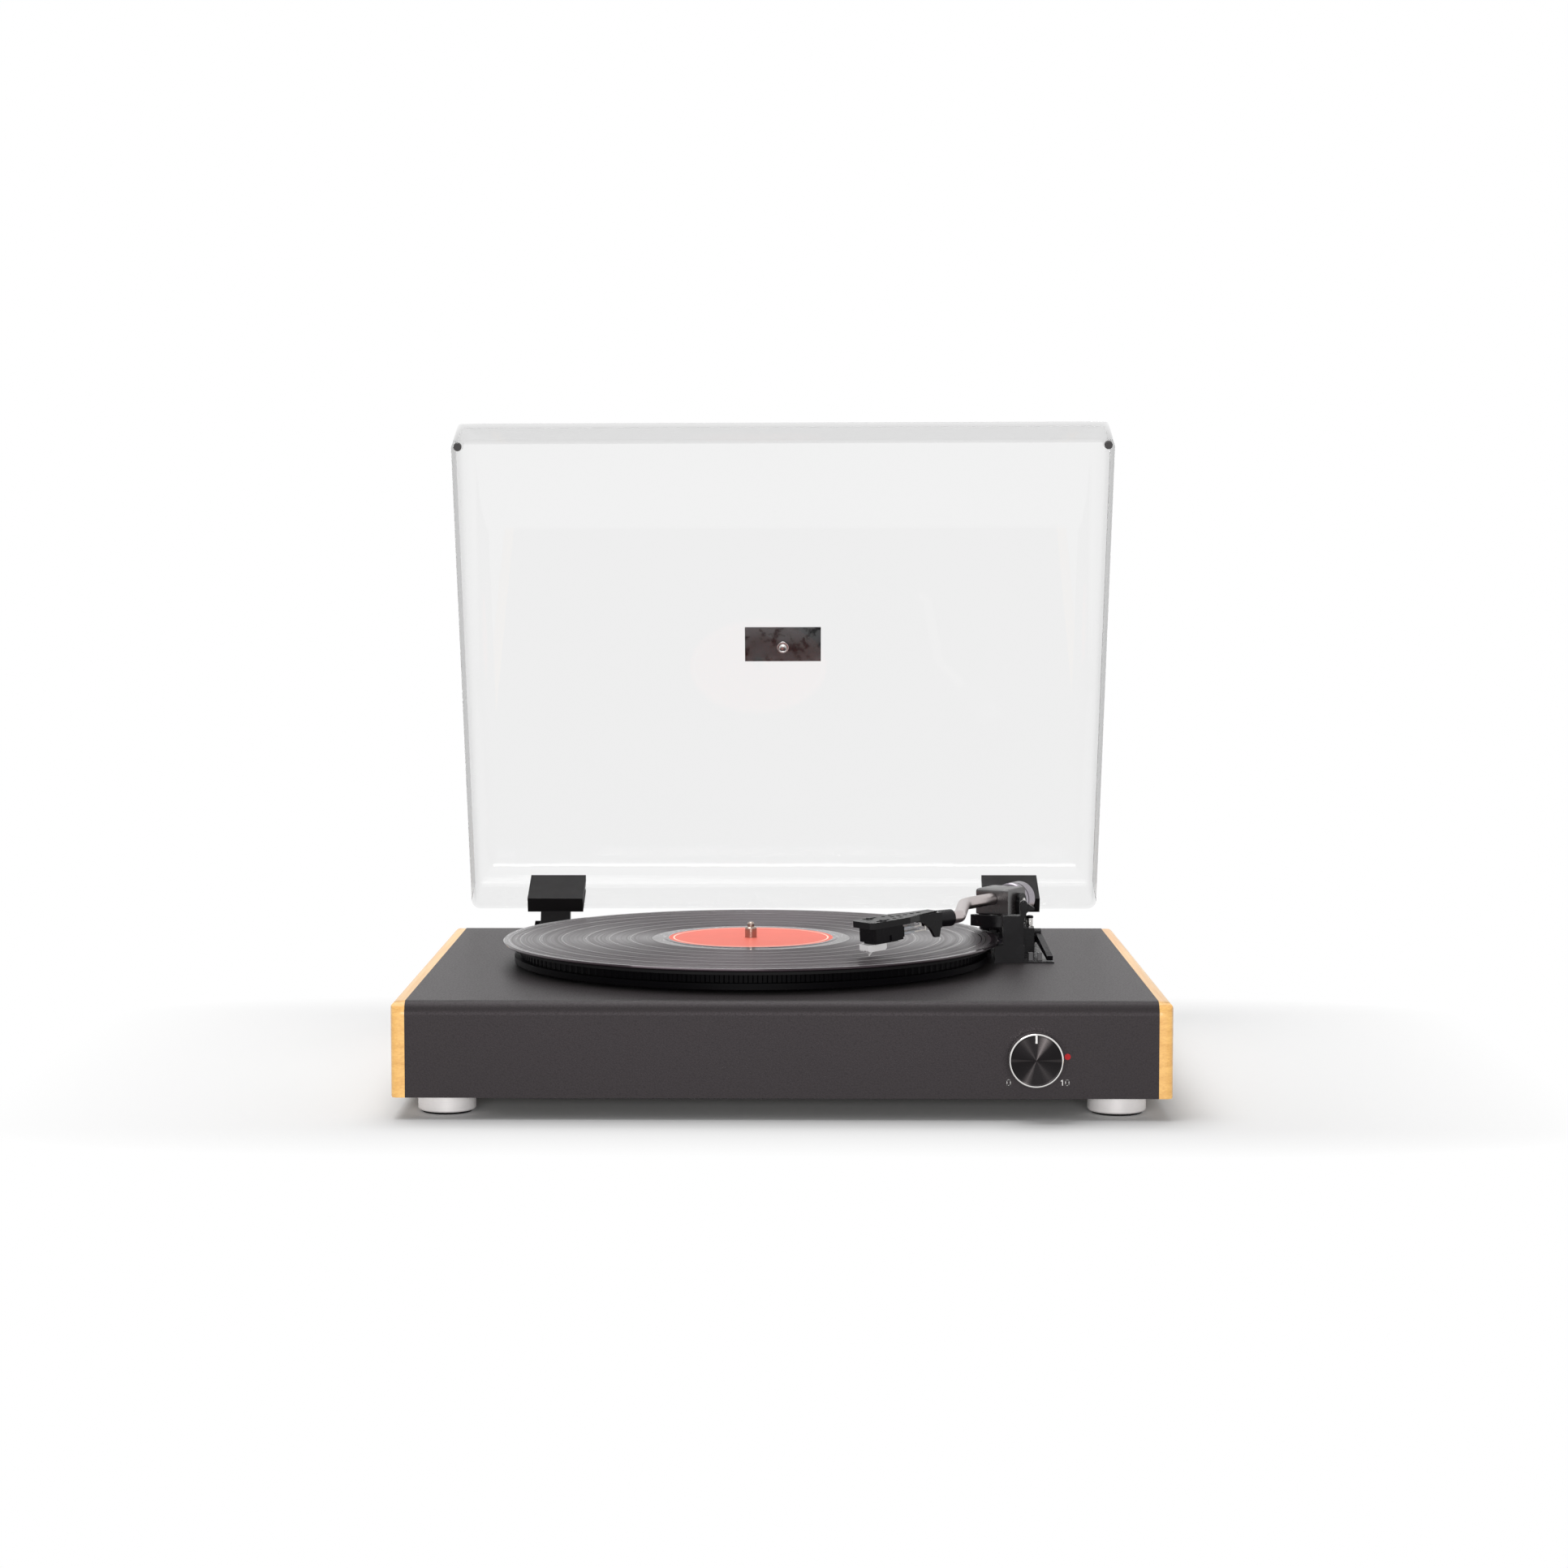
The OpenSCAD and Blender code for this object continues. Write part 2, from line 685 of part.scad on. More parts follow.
// Flat belt: two straight runs tangent to the belt ring and the pulley, and the two arcs
module drive_belt() {
    gap = 0.3;
    ra = belt_ring_r + gap;
    rb = pulley_r + gap;
    lean = acos((ra - rb) / motor_reach);
    run = sqrt(motor_reach * motor_reach - (ra - rb) * (ra - rb));
    color([0.12, 0.12, 0.12]) translate([spindle_x, spindle_y, belt_z]) rotate(motor_turn) {
        rotate(lean) rotate_extrude(angle = 360 - 2 * lean) translate([ra, 0]) square([belt_t, belt_w]);
        translate([motor_reach, 0, 0]) rotate(-lean) rotate_extrude(angle = 2 * lean)
            translate([rb, 0]) square([belt_t, belt_w]);
        for (s = [-1, 1]) rotate(s * lean) translate([ra + 0.02, s > 0 ? -run - 0.4 : -0.8, 0])
            cube([belt_t - 0.04, run + 1.2, belt_w]);
    }
}

/* ---------- tonearm base ---------- */

// Fixed base: foot plate, front block, stepped drum round the pivot and two lever bearings
module arm_base() {
    color([0.07, 0.07, 0.075]) difference() {
        union() {
            translate([base_left, base_front, deck_z])
                cube([base_right - base_left, base_rear - base_front, base_t]);
            translate([base_left, base_front, deck_z])
                cube([base_block_w, cue_y - 9 - base_front, base_block_h]);
            translate([arm_x + 2.5, arm_y, deck_z]) cylinder(r = step_r, h = step_h);
            translate([arm_x, arm_y, deck_z - board_t - 4])
                cylinder(r = drum_r, h = drum_top - deck_z + board_t + 4);
            // Left and right bearings of the cueing shaft
            translate([base_left, cue_y - 5, deck_z]) cube([4, 10, cue_z + 3.8 - deck_z]);
            translate([base_left + base_block_w + 1, cue_y - 6.5, deck_z])
                cube([cue_hub_x - 0.4 - base_left - base_block_w - 1, 13, cue_z + 5.2 - deck_z]);
            // Guide of the lift rod
            translate([lift_rod[0], lift_rod[1], deck_z]) cylinder(r = 4.2, h = 15);
        }
        // The drum is cut back to its stem inside the deck board
        translate([arm_x, arm_y, deck_z - board_t - 5]) ring(drum_r + 1, stem_r, board_t + 5);
        translate([arm_x, arm_y, deck_z + 2]) cylinder(r = swing_r + run_gap, h = 40);
        translate([arm_x, arm_y, deck_z - board_t - 5]) cylinder(r = 4, h = board_t + 5);
        translate([0, cue_y, cue_z]) rod_x(cue_r + run_gap, cue_left - 2.6, cue_hub_x + 1);
        translate([lift_rod[0], lift_rod[1], deck_z + 3]) cylinder(r = lift_rod_r + run_gap, h = 20);
        for (x = slider_xs) translate([x - slot_w / 2, slider_y - 1.9, deck_z - 1])
            cube([slot_w, slot_l, base_t + 2]);
    }
}

// Ring nut that pulls the base down from inside the case
module base_nut() {
    color([0.75, 0.62, 0.3]) translate([arm_x, arm_y, deck_z - board_t - 3.5]) ring(13, stem_r, 3.5);
}

// Armrest post: shelf under the tube, an outer wall and two lugs for the clip
module armrest() {
    z0 = deck_z + base_block_h;
    lug = (rest_l - clip_w - 0.6) / 2;
    color([0.07, 0.07, 0.075]) difference() {
        union() {
            translate([rest_x, base_front, z0]) cube([rest_w, rest_l, rest_top - z0]);
            translate([rest_x + rest_w, base_front, z0]) cube([1.6, rest_l, arm_z + 0.5 - z0]);
            along_y(base_front, base_front + rest_l) polygon([[rest_x + rest_w + 1.4, arm_z - 8],
                [clip_x + 1.6, arm_z - 2.5], [clip_x + 2.2, clip_z], [clip_x, clip_z + 2.2],
                [rest_x + rest_w, clip_z + 0.6], [rest_x + rest_w, arm_z - 2]]);
        }
        translate([rest_x + rest_w - 1, base_front + lug, clip_z - 3.8])
            cube([14, clip_w + 0.6, 12]);
        translate([clip_x, base_front, clip_z]) rod_y(clip_pin_r + run_gap, 1, rest_l + 1);
        // Shallow saddle across the shelf
        translate([rest_x - 1, base_front + 2.5, rest_top - 0.4]) cube([4, rest_l - 5, 1]);
    }
}

// Clip, drawn open: its finger points away from the arm and its hook points up
module arm_clip() {
    color([0.07, 0.07, 0.075]) translate([clip_x, clip_y, clip_z]) {
        rod_y(2.3, -clip_w / 2, clip_w / 2);
        rod_y(clip_pin_r, -rest_l / 2 + 1.2, rest_l / 2 - 0.4);
        along_y(-clip_w / 2, clip_w / 2) polygon([[0, -1.8], [2.6, -3.5], [5.2, -3.8], [6.4, -3.5],
            [6.6, -2.6], [6, -1.9], [0, 2]]);
    }
}

// Height screw with a knurled head, standing on the low step of the base
module lift_screw() {
    color([0.80, 0.80, 0.80]) translate([arm_x + 17, arm_y, deck_z + step_h]) {
        cylinder(r = 1.7, h = 7.5);
        translate([0, 0, 7 - eps]) cylinder(r = 2.1, h = 4.5);
        translate([0, 0, 11.4]) cylinder(r = 1.6, h = 0.6);
    }
}

// Cueing lever: hub and slanted handle outside, shaft and short rocker inside
module cue_lever() {
    color([0.06, 0.06, 0.065]) translate([0, cue_y, cue_z]) {
        rod_x(cue_r, cue_left - 2.4, cue_hub_x + 0.2);
        rod_x(4.4, cue_hub_x, cue_hub_x + 4);
        translate([cue_hub_x, 0, 0]) rotate([0, 0, 4.8]) rotate([cue_rest_angle, 0, 0]) {
            along_x(0.3, 3.9) polygon([[0, -2.6], [-cue_handle + 8, -1.7], [-cue_handle, -1.7],
                [-cue_handle, 1.1], [-cue_handle + 8, 1.5], [0, 2.6]]);
        }
        rotate([cue_turn / 2, 0, 0]) {
            along_x(cue_left + 0.4, cue_left + 5)
                polygon([[0, -1.6], [-cue_arm, -1.2], [-cue_arm, 0.6], [0, 1.6]]);
            translate([0, -cue_arm, 0]) rod_x(cue_tip_r, cue_left + 0.4, cue_left + 5);
        }
        rod_x(2, cue_left + 0.8, cue_left + 4.6);
    }
}

// Lift platform: curved bar under the tube, a foot on the rocker and a guide rod
module lift_platform() {
    foot_z = cue_z - cue_arm * sin(cue_turn / 2) + cue_tip_r + 0.15;
    color([0.06, 0.06, 0.065]) {
        translate([arm_x, arm_y, lift_bar_z]) rotate([0, 0, 270 - 52])
            rotate_extrude(angle = 72) translate([lift_arc_r - lift_arc_w / 2, 0])
                square([lift_arc_w, lift_bar_h]);
        translate([cue_left + 1.2, arm_y - lift_arc_r - 1.6, foot_z])
            cube([3, 3.2, lift_bar_z + 1 - foot_z]);
        translate([lift_rod[0], lift_rod[1], deck_z + 4])
            cylinder(r = lift_rod_r, h = lift_bar_z + 1 - deck_z - 4);
    }
}

// Small slide switch: knob above the deck, stem through it and carriage below it
module slide_switch(x) {
    carriage_z = deck_z - board_t - 2.2;
    translate([x, slider_y, 0]) {
        translate([-slot_w / 2 + 0.2, -1.5, carriage_z + 1])
            cube([slot_w - 0.4, 3, deck_z + base_t + 4.5 - carriage_z - 1]);
        translate([-2.6, -4, carriage_z]) cube([5.2, 8, 1.8]);
    }
}

module speed_slider() {
    color([0.75, 0.75, 0.75]) slide_switch(slider_xs[0]);
}

module stop_slider() {
    color([0.75, 0.75, 0.75]) slide_switch(slider_xs[1]);
}

/* ---------- tonearm ---------- */

// Arm frame: +X runs from the pivot to the stylus, +Y to the record's side, Z = 0 on the tube axis
module arm_frame() {
    translate([arm_x, arm_y, arm_z]) rotate([0, 0, 270 - arm_turn]) mirror([0, 1, 0]) children();
}

// Headshell frame: origin over the stylus, +X to the front of the headshell
module head_frame() {
    translate([arm_len, 0, 0]) rotate([0, 0, head_offset]) children();
}

// Everything in front of the collar slopes about the stylus tip
module sloped() {
    translate([0, 0, tip_gap - arm_over_record]) rotate([0, head_slope, 0])
        translate([0, 0, arm_over_record - tip_gap]) children();
}

module arm_yoke() {
    z0 = yoke_z - arm_z;
    in_y = block_w / 2 + ear_gap;
    color([0.08, 0.08, 0.085]) arm_frame() difference() {
        union() {
            translate([0, 0, z0]) cylinder(r = yoke_r, h = yoke_t);
            translate([0, 0, deck_z + 2.3 - arm_z]) cylinder(r = swing_r, h = yoke_z + 1 - deck_z - 2.3);
            for (s = [0, 1]) mirror([0, s, 0]) {
                translate([-5, in_y, z0 + yoke_t - 1]) cube([10, ear_t, tilt_z - yoke_z - yoke_t + 1]);
                translate([0, 0, tilt_z - arm_z]) rod_y(5, in_y, in_y + ear_t);
            }
        }
        translate([0, 0, tilt_z - arm_z]) rod_y(tilt_r + 0.6, -yoke_r - 1, yoke_r + 1);
        // Room for the counterweight
        translate([0, 0, -weight_drop]) rod_x(weight_r + 1.5, -yoke_r - 1, 0.7 - block_back);
        // Ears and plate share one round outline
        difference() {
            translate([0, 0, z0 - 1]) cylinder(r = yoke_r + 8, h = 30);
            translate([0, 0, z0 - 2]) cylinder(r = yoke_r + 1, h = 32);
        }
    }
}

// Pivot screws: threaded in the yoke's ears, their tips carry the pivot block
module pivot_screws() {
    in_y = block_w / 2 + ear_gap;
    color("silver") arm_frame() for (s = [0, 1]) mirror([0, s, 0]) translate([0, 0, tilt_z - arm_z]) {
        rod_y(tilt_r + 0.6, in_y, in_y + ear_t + 0.8);
        rod_y(tilt_r, block_w / 2 - 2.5, in_y + eps);
    }
}

module pivot_block() {
    side = block_under + block_over;
    color([0.09, 0.09, 0.095]) arm_frame() difference() {
        intersection() {
            along_y(-block_w, block_w) translate([-block_back, -block_under])
                rounded(block_len, side, [0.8, 0.8, 2, 2]);
            translate([-block_back, 0, 0]) rotate([90, 0, 90]) linear_extrude(block_len)
                translate([-block_w / 2, -block_under]) rounded(block_w, side, [1, 1, 1.5, 1.5]);
        }
        translate([0, 0, tilt_z - arm_z]) for (s = [0, 1]) mirror([0, s, 0])
            rod_y(tilt_r + run_gap, block_w / 2 - 2.8, block_w / 2 + 1);
        // Sockets for the tube and for the counterweight's shaft
        rod_x(tube_r, block_front - 4, block_front + 1);
        translate([0, 0, -weight_drop]) rod_x(weight_shaft_r, -block_back - 1, 4 - block_back);
    }
}

// S-shaped tube: three straight runs and two bends, hollow at its headshell end
module arm_tube() {
    start = [block_front - 4, 0];
    u1 = unit(bend_1 - start);
    u2 = unit(bend_2 - bend_1);
    u3 = unit(tube_exit - bend_2);
    cut_1 = bend_r1 * tan(abs(turn_of(u1, u2)) / 2);
    cut_2 = bend_r2 * tan(abs(turn_of(u2, u3)) / 2);
    color([0.80, 0.78, 0.76]) arm_frame() {
        // Straight runs reach a little into the bends, which are a hair thinner
        into = 0.5;
        straight(start, bend_1 - u1 * (cut_1 - into), tube_r);
        elbow(bend_1, u1, u2, bend_r1, tube_r - 0.02);
        straight(bend_1 + u2 * (cut_1 - into), bend_2 - u2 * (cut_2 - into), tube_r);
        elbow(bend_2, u2, u3, bend_r2, tube_r - 0.02);
        straight(bend_2 + u3 * (cut_2 - into), tube_exit, tube_r);
    }
}

// Headshell: slotted plate, neck, locking collar and finger lift in one casting
module headshell() {
    collar_start = collar_end - collar_len;
    under = plate_z - arm_z;
    w = head_w / 2;
    color([0.10, 0.10, 0.105]) arm_frame() head_frame() difference() {
        union() {
            sloped() difference() {
                translate([0, 0, under]) linear_extrude(plate_t) polygon([[4.8, -w + 2.5], [2.8, -w],
                    [-24, -w], [-34, -w + 3.5], [-collar_start, -4], [-collar_start, 4], [-34, w - 3.5],
                    [-24, w], [2.8, w], [4.8, w - 2.5]]);
                // Fixing slots and lightening holes
                for (s = [-1, 1]) translate([head_fix - 5, s * slot_y - slot_half, under - 1])
                    cube([10, 2 * slot_half, plate_t + 2]);
                for (a = [-16, -21], y = [-5, 5]) translate([a, y, under - 1])
                    cylinder(r = 1.3, h = plate_t + 2);
                for (a = [-18.5, -23.5, -28.5, -33.5, -38.5]) translate([a, 0, under - 1])
                    cylinder(r = 1.4, h = plate_t + 2);
            }
            // Side walls, the outer one drawn down as a finger lift
            along_y(-6.4, -4) polygon([[-29, 3.6], [-49.5, 4.6], [-49.5, -5], [-48.6, -9.9],
                [-45.4, -9.9], [-42, -5], [-38, -1.6], [-34, -0.2], [-29, 0.4]]);
            along_y(4, 6.4) polygon([[-29, 3.6], [-49.5, 4.6], [-49.5, -3], [-42, -2.4],
                [-34, -0.2], [-29, 0.4]]);
            along_y(-6.4, 6.4) polygon([[-43, 4.2], [-50.5, 4.6], [-50.5, -4.6], [-46, -4.6]]);
            rod_x(collar_d / 2, -collar_end, -collar_start);
        }
        // Seat of the tube
        rod_x(tube_r, -collar_end - 1, 6 - collar_end);
    }
}

module head_screws() {
    top = plate_z - arm_z + plate_t;
    color("silver") arm_frame() head_frame() sloped() for (s = [-1, 1]) translate([head_fix, s * slot_y, 0]) {
        translate([0, 0, top]) cylinder(r = 2.1, h = 0.7);
        translate([0, 0, top - plate_t - 4]) cylinder(r = 1.2, h = plate_t + 4 + eps);
    }
}

// Cartridge body under the plate, with its terminal block and four pins at the back
module cartridge() {
    top = plate_z - arm_z;
    bottom = cart_bottom - arm_over_record;
    back = cart_front - cart_len;
    color([0.08, 0.08, 0.085]) arm_frame() head_frame() sloped() difference() {
        union() {
            translate([back, -cart_w / 2, bottom + 1]) cube([cart_len, cart_w, top - bottom - 1]);
            translate([back + 2, -5, bottom]) cube([cart_len - 3, 10, 2]);
            translate([back - 3, -5, top - 8]) cube([4, 10, 6]);
            for (y = [-3, 3], z = [-6.5, -3.5]) translate([0, y, top + z])
                rod_x(0.5, back - 7, back - 2);
        }
        for (s = [-1, 1]) {
            translate([head_fix, s * slot_y, top - 5]) cylinder(r = 1.2, h = 6);
            // Recess in each side wall
            translate([cart_front - 11.7, s * cart_w / 2 - 1, bottom]) cube([4, 2, 4.6]);
        }
    }
}

// Stylus carrier, guard and slanted cantilever; its tip stays just over the groove
module stylus_unit() {
    bottom = cart_bottom - arm_over_record;
    tip = tip_gap - arm_over_record;
    color([0.90, 0.89, 0.86]) arm_frame() head_frame() sloped() {
        difference() {
            along_y(-4.2, 4.2) polygon([[guard_front - guard_len, bottom],
                [guard_front - guard_len, bottom - guard_h + 1],
                [guard_front - guard_len + 1, bottom - guard_h], [guard_front - 0.6, bottom - guard_h],
                [guard_front, bottom - guard_h + 0.8], [guard_front, bottom]]);
            // Channel over the cantilever, open below and through a notch in front
            translate([guard_front - 9, -2.8, bottom - guard_h - 1]) cube([7.6, 5.6, guard_h - 0.4]);
            translate([guard_front - 2, -1.2, bottom - guard_h - 1]) cube([3, 2.4, 1.9]);
        }
        along_y_at(0, 0.8) polygon([[-7, bottom - 1.2], [-5.2, bottom - 1.2], [0.4, tip + 0.9],
            [0.25, tip], [-0.1, tip], [-0.6, tip + 0.5]]);
    }
}

module along_y_at(y, t) {
    along_y(y - t / 2, y + t / 2) children();
}

// Four colour-coded leads between the headshell neck and the cartridge pins
module lead_wires() {
    top = plate_z - arm_z;
    x1 = cart_front - cart_len - 7;
    color([0.75, 0.2, 0.2]) arm_frame() head_frame() sloped() for (y = [-3, 3], z = [-6.5, -3.5]) {
        x2 = x1 + (z < -5 ? -14 : -10);
        translate([0, y, top + z]) difference() {
            rod_x(0.9, x1 - 2, x1 + 3);
            rod_x(0.5, x1, x1 + 4);
        }
        translate([0, y, top + z]) rod_x(0.4, x2, x1 - 1.5);
        translate([x2, y, top + z - 0.4]) cylinder(r = 0.45, h = 0.4 - z);
    }
}

module weight_shaft() {
    color("silver") arm_frame() translate([-block_back, 0, -weight_drop])
        rod_x(weight_shaft_r, 2 - weight_gap - weight_len, 4);
}

module counterweight() {
    color([0.78, 0.77, 0.78]) arm_frame()
        translate([-block_back - weight_gap, 0, -weight_drop]) rotate([0, -90, 0]) difference() {
        rotate_extrude() polygon([[0, 0], [weight_r - 0.8, 0], [weight_r, 0.8], [weight_r, 5],
            [weight_r - 0.7, 5], [weight_r - 0.7, 6], [weight_r, 6], [weight_r, weight_len - 0.8],
            [weight_r - 0.8, weight_len], [0, weight_len]]);
        translate([0, 0, -1]) cylinder(r = weight_shaft_r + run_gap, h = weight_len - 0.5);
    }
}

/* ---------- dust cover ---------- */

// Turns parts drawn for the closed cover about the hinge axis to its open rest position
module opened() {
    translate([0, hinge_y, hinge_z]) rotate([-lid_open, 0, 0]) children();
}

// Closed outline measured from the hinge axis; grow is negative for the inside
module lid_form(grow) {
    w = lid_w / 2 + grow;
    y0 = shut_back - lid_len - grow;
    y1 = shut_back + grow;
    z0 = grow < 0 ? shut_top - lid_h - 1 : shut_top - lid_h;
    z1 = shut_top + grow;
    r = lid_round + grow;
    c = lid_corner + grow;
    intersection() {
        along_x(-w, w) translate([y0, z0]) rounded(y1 - y0, z1 - z0, [0, 0, r, r]);
        along_y(y0, y1) translate([-w, z0]) rounded(2 * w, z1 - z0, [0, 0, r, r]);
        translate([-w, y0, z0]) linear_extrude(z1 - z0) rounded(2 * w, y1 - y0, [c, c, c, c]);
    }
}

module lid() {
    rim = shut_top - lid_h;
    color([0.85, 0.87, 0.88, 0.35]) opened() {
        difference() {
            lid_form(0);
            lid_form(-lid_wall);
        }
        // Corner bosses that carry the bumpers
        for (s = [-1, 1]) translate([s * (lid_w / 2 - bumper_in), shut_back - lid_len + bumper_in, rim])
            cylinder(r = boss_r, h = 6);
    }
}

// Bare plate on the outer face, with a small round mark of the moulding in its middle
module lid_plate() {
    color([0.20, 0.20, 0.21]) opened() translate([0, shut_back - lid_len / 2 - plate_ahead, shut_top])
        linear_extrude(0.6) difference() {
            translate([-plate_w / 2, -plate_h / 2]) square([plate_w, plate_h]);
            circle(2);
        }
}

module lid_bumpers() {
    rim = shut_top - lid_h;
    color([0.3, 0.3, 0.3]) opened() for (s = [-1, 1])
        translate([s * (lid_w / 2 - bumper_in), shut_back - lid_len + bumper_in, rim - rim_gap + 0.1])
            cylinder(r = bumper_r, h = rim_gap - 0.1);
}

// Block with a slot for the cover's rear wall, and the knuckle behind it
module hinge_blocks() {
    rim = shut_top - lid_h;
    round_z = shut_top - lid_round;
    y0 = shut_back - lid_wall - 5.2;
    y1 = shut_back + 1.6;
    z0 = rim - 1.8;
    color([0.12, 0.12, 0.12]) opened() for (s = [-1, 1]) translate([s * hinge_x, 0, 0]) difference() {
        union() {
            translate([-hinge_w / 2, y0, z0]) cube([hinge_w, shut_back - lid_wall - y0, hinge_h]);
            translate([-hinge_w / 2, y0, z0]) cube([hinge_w, y1 - y0, round_z - z0 - 1]);
            rod_x(6, -knuckle_w / 2, knuckle_w / 2);
            along_x(-knuckle_w / 2, knuckle_w / 2) polygon([[y1 - 0.5, z0], [y1 - 0.5, z0 + 10], [0, 6],
                [5.2, -3], [-4.2, -4.3]]);
        }
        translate([-hinge_w / 2 - 1, shut_back - lid_wall, rim])
            cube([hinge_w + 2, lid_wall, hinge_h + 2]);
        // Relief where the lid's wall starts to round
        translate([-hinge_w / 2 - 1, shut_back - lid_wall - 1.2, round_z - 0.3])
            cube([hinge_w + 2, lid_wall, hinge_h]);
        rod_x(pin_r + run_gap, -knuckle_w, knuckle_w);
    }
}

module hinge_pins() {
    color("silver") for (s = [-1, 1]) translate([s * hinge_x, hinge_y, hinge_z]) {
        rod_x(pin_r, -bracket_w / 2, bracket_w / 2);
        rod_x(pin_r + 1.2, -bracket_w / 2 - 1.2, -bracket_w / 2);
        rod_x(pin_r + 1.2, bracket_w / 2, bracket_w / 2 + 1.2);
    }
}

// Bracket on the rear face: screwed plate and two ears round the pin
module hinge_brackets() {
    color([0.10, 0.10, 0.10]) for (s = [-1, 1]) translate([s * hinge_x, hinge_y, hinge_z]) difference() {
        union() {
            translate([-bracket_plate_w / 2, -hinge_back, -14]) cube([bracket_plate_w, bracket_t, 15]);
            for (m = [0, 1]) mirror([m, 0, 0]) {
                along_x(knuckle_w / 2 + 0.4, bracket_w / 2) polygon([[-hinge_back + 0.5, -14],
                    [-hinge_back + 0.5, 1], [-3, 6], [5, 4], [6.3, -1], [3, -6.5]]);
                rod_x(6.6, knuckle_w / 2 + 0.4, bracket_w / 2);
            }
        }
        rod_x(pin_r, -bracket_w, bracket_w);
        for (dx = [-1, 1]) translate([dx * bracket_screw_x, -hinge_back, bracket_screw_z - hinge_z])
            rod_y(1.5, -1, bracket_t + 1);
    }
}

module hinge_screws() {
    color("dimgray") for (s = [-1, 1], dx = [-1, 1])
        translate([s * hinge_x + dx * bracket_screw_x, back_y, bracket_screw_z]) {
            rod_y(1.5, -rear_t + 1, bracket_t + 1);
            rod_y(2.6, bracket_t, bracket_t + 1.6);
        }
}

/* ---------- controls ---------- */

module volume_knob() {
    r = knob_d / 2;
    color([0.12, 0.12, 0.12]) translate([knob_x, front_y, knob_z]) difference() {
        rotate([90, 0, 0]) rotate_extrude() polygon([[0, knob_gap], [r - 1.2, knob_gap], [r - 0.8, 1],
            [r - 0.8, knob_out - 0.8], [r - 1.6, knob_out - 1], [0, knob_out - 1]]);
        rod_y(pot_shaft_r, -knob_out + 4, 1);
        rotate([90, 0, 0]) translate([0, 0, knob_gap - 1]) ring(r - 2.6, pot_bush_r + 1, 5);
        rotate([90, 0, 0]) translate([0, 0, knob_gap - 1]) ring(pot_bush_r + 2, pot_shaft_r, 3);
        translate([-marker_w / 2, -knob_out - 1, marker_from])
            cube([marker_w, 2.4, knob_d / 2 - 0.8 - marker_from]);
    }
}

module knob_ring() {
    r = knob_d / 2;
    color([0.9, 0.9, 0.9]) translate([knob_x, front_y, knob_z]) rotate([90, 0, 0])
        rotate_extrude() polygon([[r - 0.8, 1.2], [r - 0.2, 1.2], [r, 1.6], [r, knob_out - 0.4],
            [r - 0.35, knob_out], [r - 0.8, knob_out - 0.2]]);
}

module knob_marker() {
    color("white") translate([knob_x - marker_w / 2, front_y - knob_out + 0.9, knob_z + marker_from])
        cube([marker_w, 0.5, knob_d / 2 - 0.9 - marker_from]);
}

module pot_shaft() {
    color("silver") translate([knob_x, front_y, knob_z]) rod_y(pot_shaft_r, -knob_out + 4, board_t + 9);
}

// Potentiometer body with its threaded bush through the front board, and its nut
module volume_pot() {
    color([0.45, 0.45, 0.45]) translate([knob_x, front_y, knob_z]) difference() {
        union() {
            translate([-9, board_t + 0.1, -9]) cube([18, 11, 18]);
            rod_y(pot_bush_r, 0.4, board_t + 1);
        }
        rod_y(pot_shaft_r + run_gap, -1, board_t + 9.3);
    }
}

module power_led() {
    r = led_d / 2;
    color([0.9, 0.3, 0.2]) translate([knob_x + led_right, front_y, led_z]) {
        rod_y(r, -0.5, board_t + 2);
        rod_y(r + 0.6, board_t + 0.1, board_t + 2);
    }
}

// Amplifier board with its larger components, standing on the bottom cover
module main_board() {
    block_x = min(side_x - block_s, foot_spots[1][0] - block_s / 2);
    x0 = min(knob_x - 82, block_x - amp_gap - amp_w);
    y0 = front_y + board_t + 22;
    z0 = case_z + cover_t + 5;
    color([0.12, 0.35, 0.2]) {
        translate([x0, y0, z0]) cube([amp_w, amp_d, 1.6]);
        for (x = [6, amp_w - 6], y = [6, amp_d - 6]) translate([x0 + x, y0 + y, z0 - 5]) cylinder(r = 3, h = 5.2);
        for (i = [0:2]) translate([x0 + 20 + 13 * i, y0 + 50, z0 + 1.5]) cylinder(r = 5, h = 14);
        translate([x0 + 60, y0 + 40, z0 + 1.5]) cube([36, 10, 16]);
        for (x = [22, 44]) translate([x0 + x, y0 + 18, z0 + 1.5]) cube([12, 8, 2]);
        // Edge connector that takes the potentiometer's tags
        translate([knob_x - 8, y0 - 1.5, z0 + 0.1]) cube([16, 10, 4]);
    }
}

/* ---------- connectors on the rear ---------- */

module terminal_plate() {
    color([0.11, 0.11, 0.11]) difference() {
        translate([port_x - port_w / 2, back_y, port_z]) cube([port_w, 1.6, port_h]);
        for (x = line_xs) translate([port_x + x, back_y, port_z + port_h / 2]) rod_y(line_r, -1, 3);
        for (x = clip_xs) translate([port_x + x - 6, back_y - 1, port_z + 6]) cube([12, 4, port_h - 12]);
        translate([port_x + dc_at, back_y, port_z + port_h / 2]) rod_y(dc_r, -1, 3);
        for (dx = [-1, 1]) translate([port_x + dx * (port_w / 2 - 3), back_y, port_z + port_h / 2])
            rod_y(1.2, -1, 3);
    }
}

module at_port(x) {
    translate([port_x + x, back_y, port_z + port_h / 2]) children();
}

module line_jacks() {
    color([0.85, 0.8, 0.6]) for (x = line_xs) at_port(x) difference() {
        union() {
            rod_y(line_r, -8, 9.5);
            rod_y(line_r + 1.4, 1.6, 3.4);
        }
        rod_y(1.6, -2, 11);
        rotate([-90, 0, 0]) translate([0, 0, 3.6]) ring(3.5, 2.6, 7);
    }
}

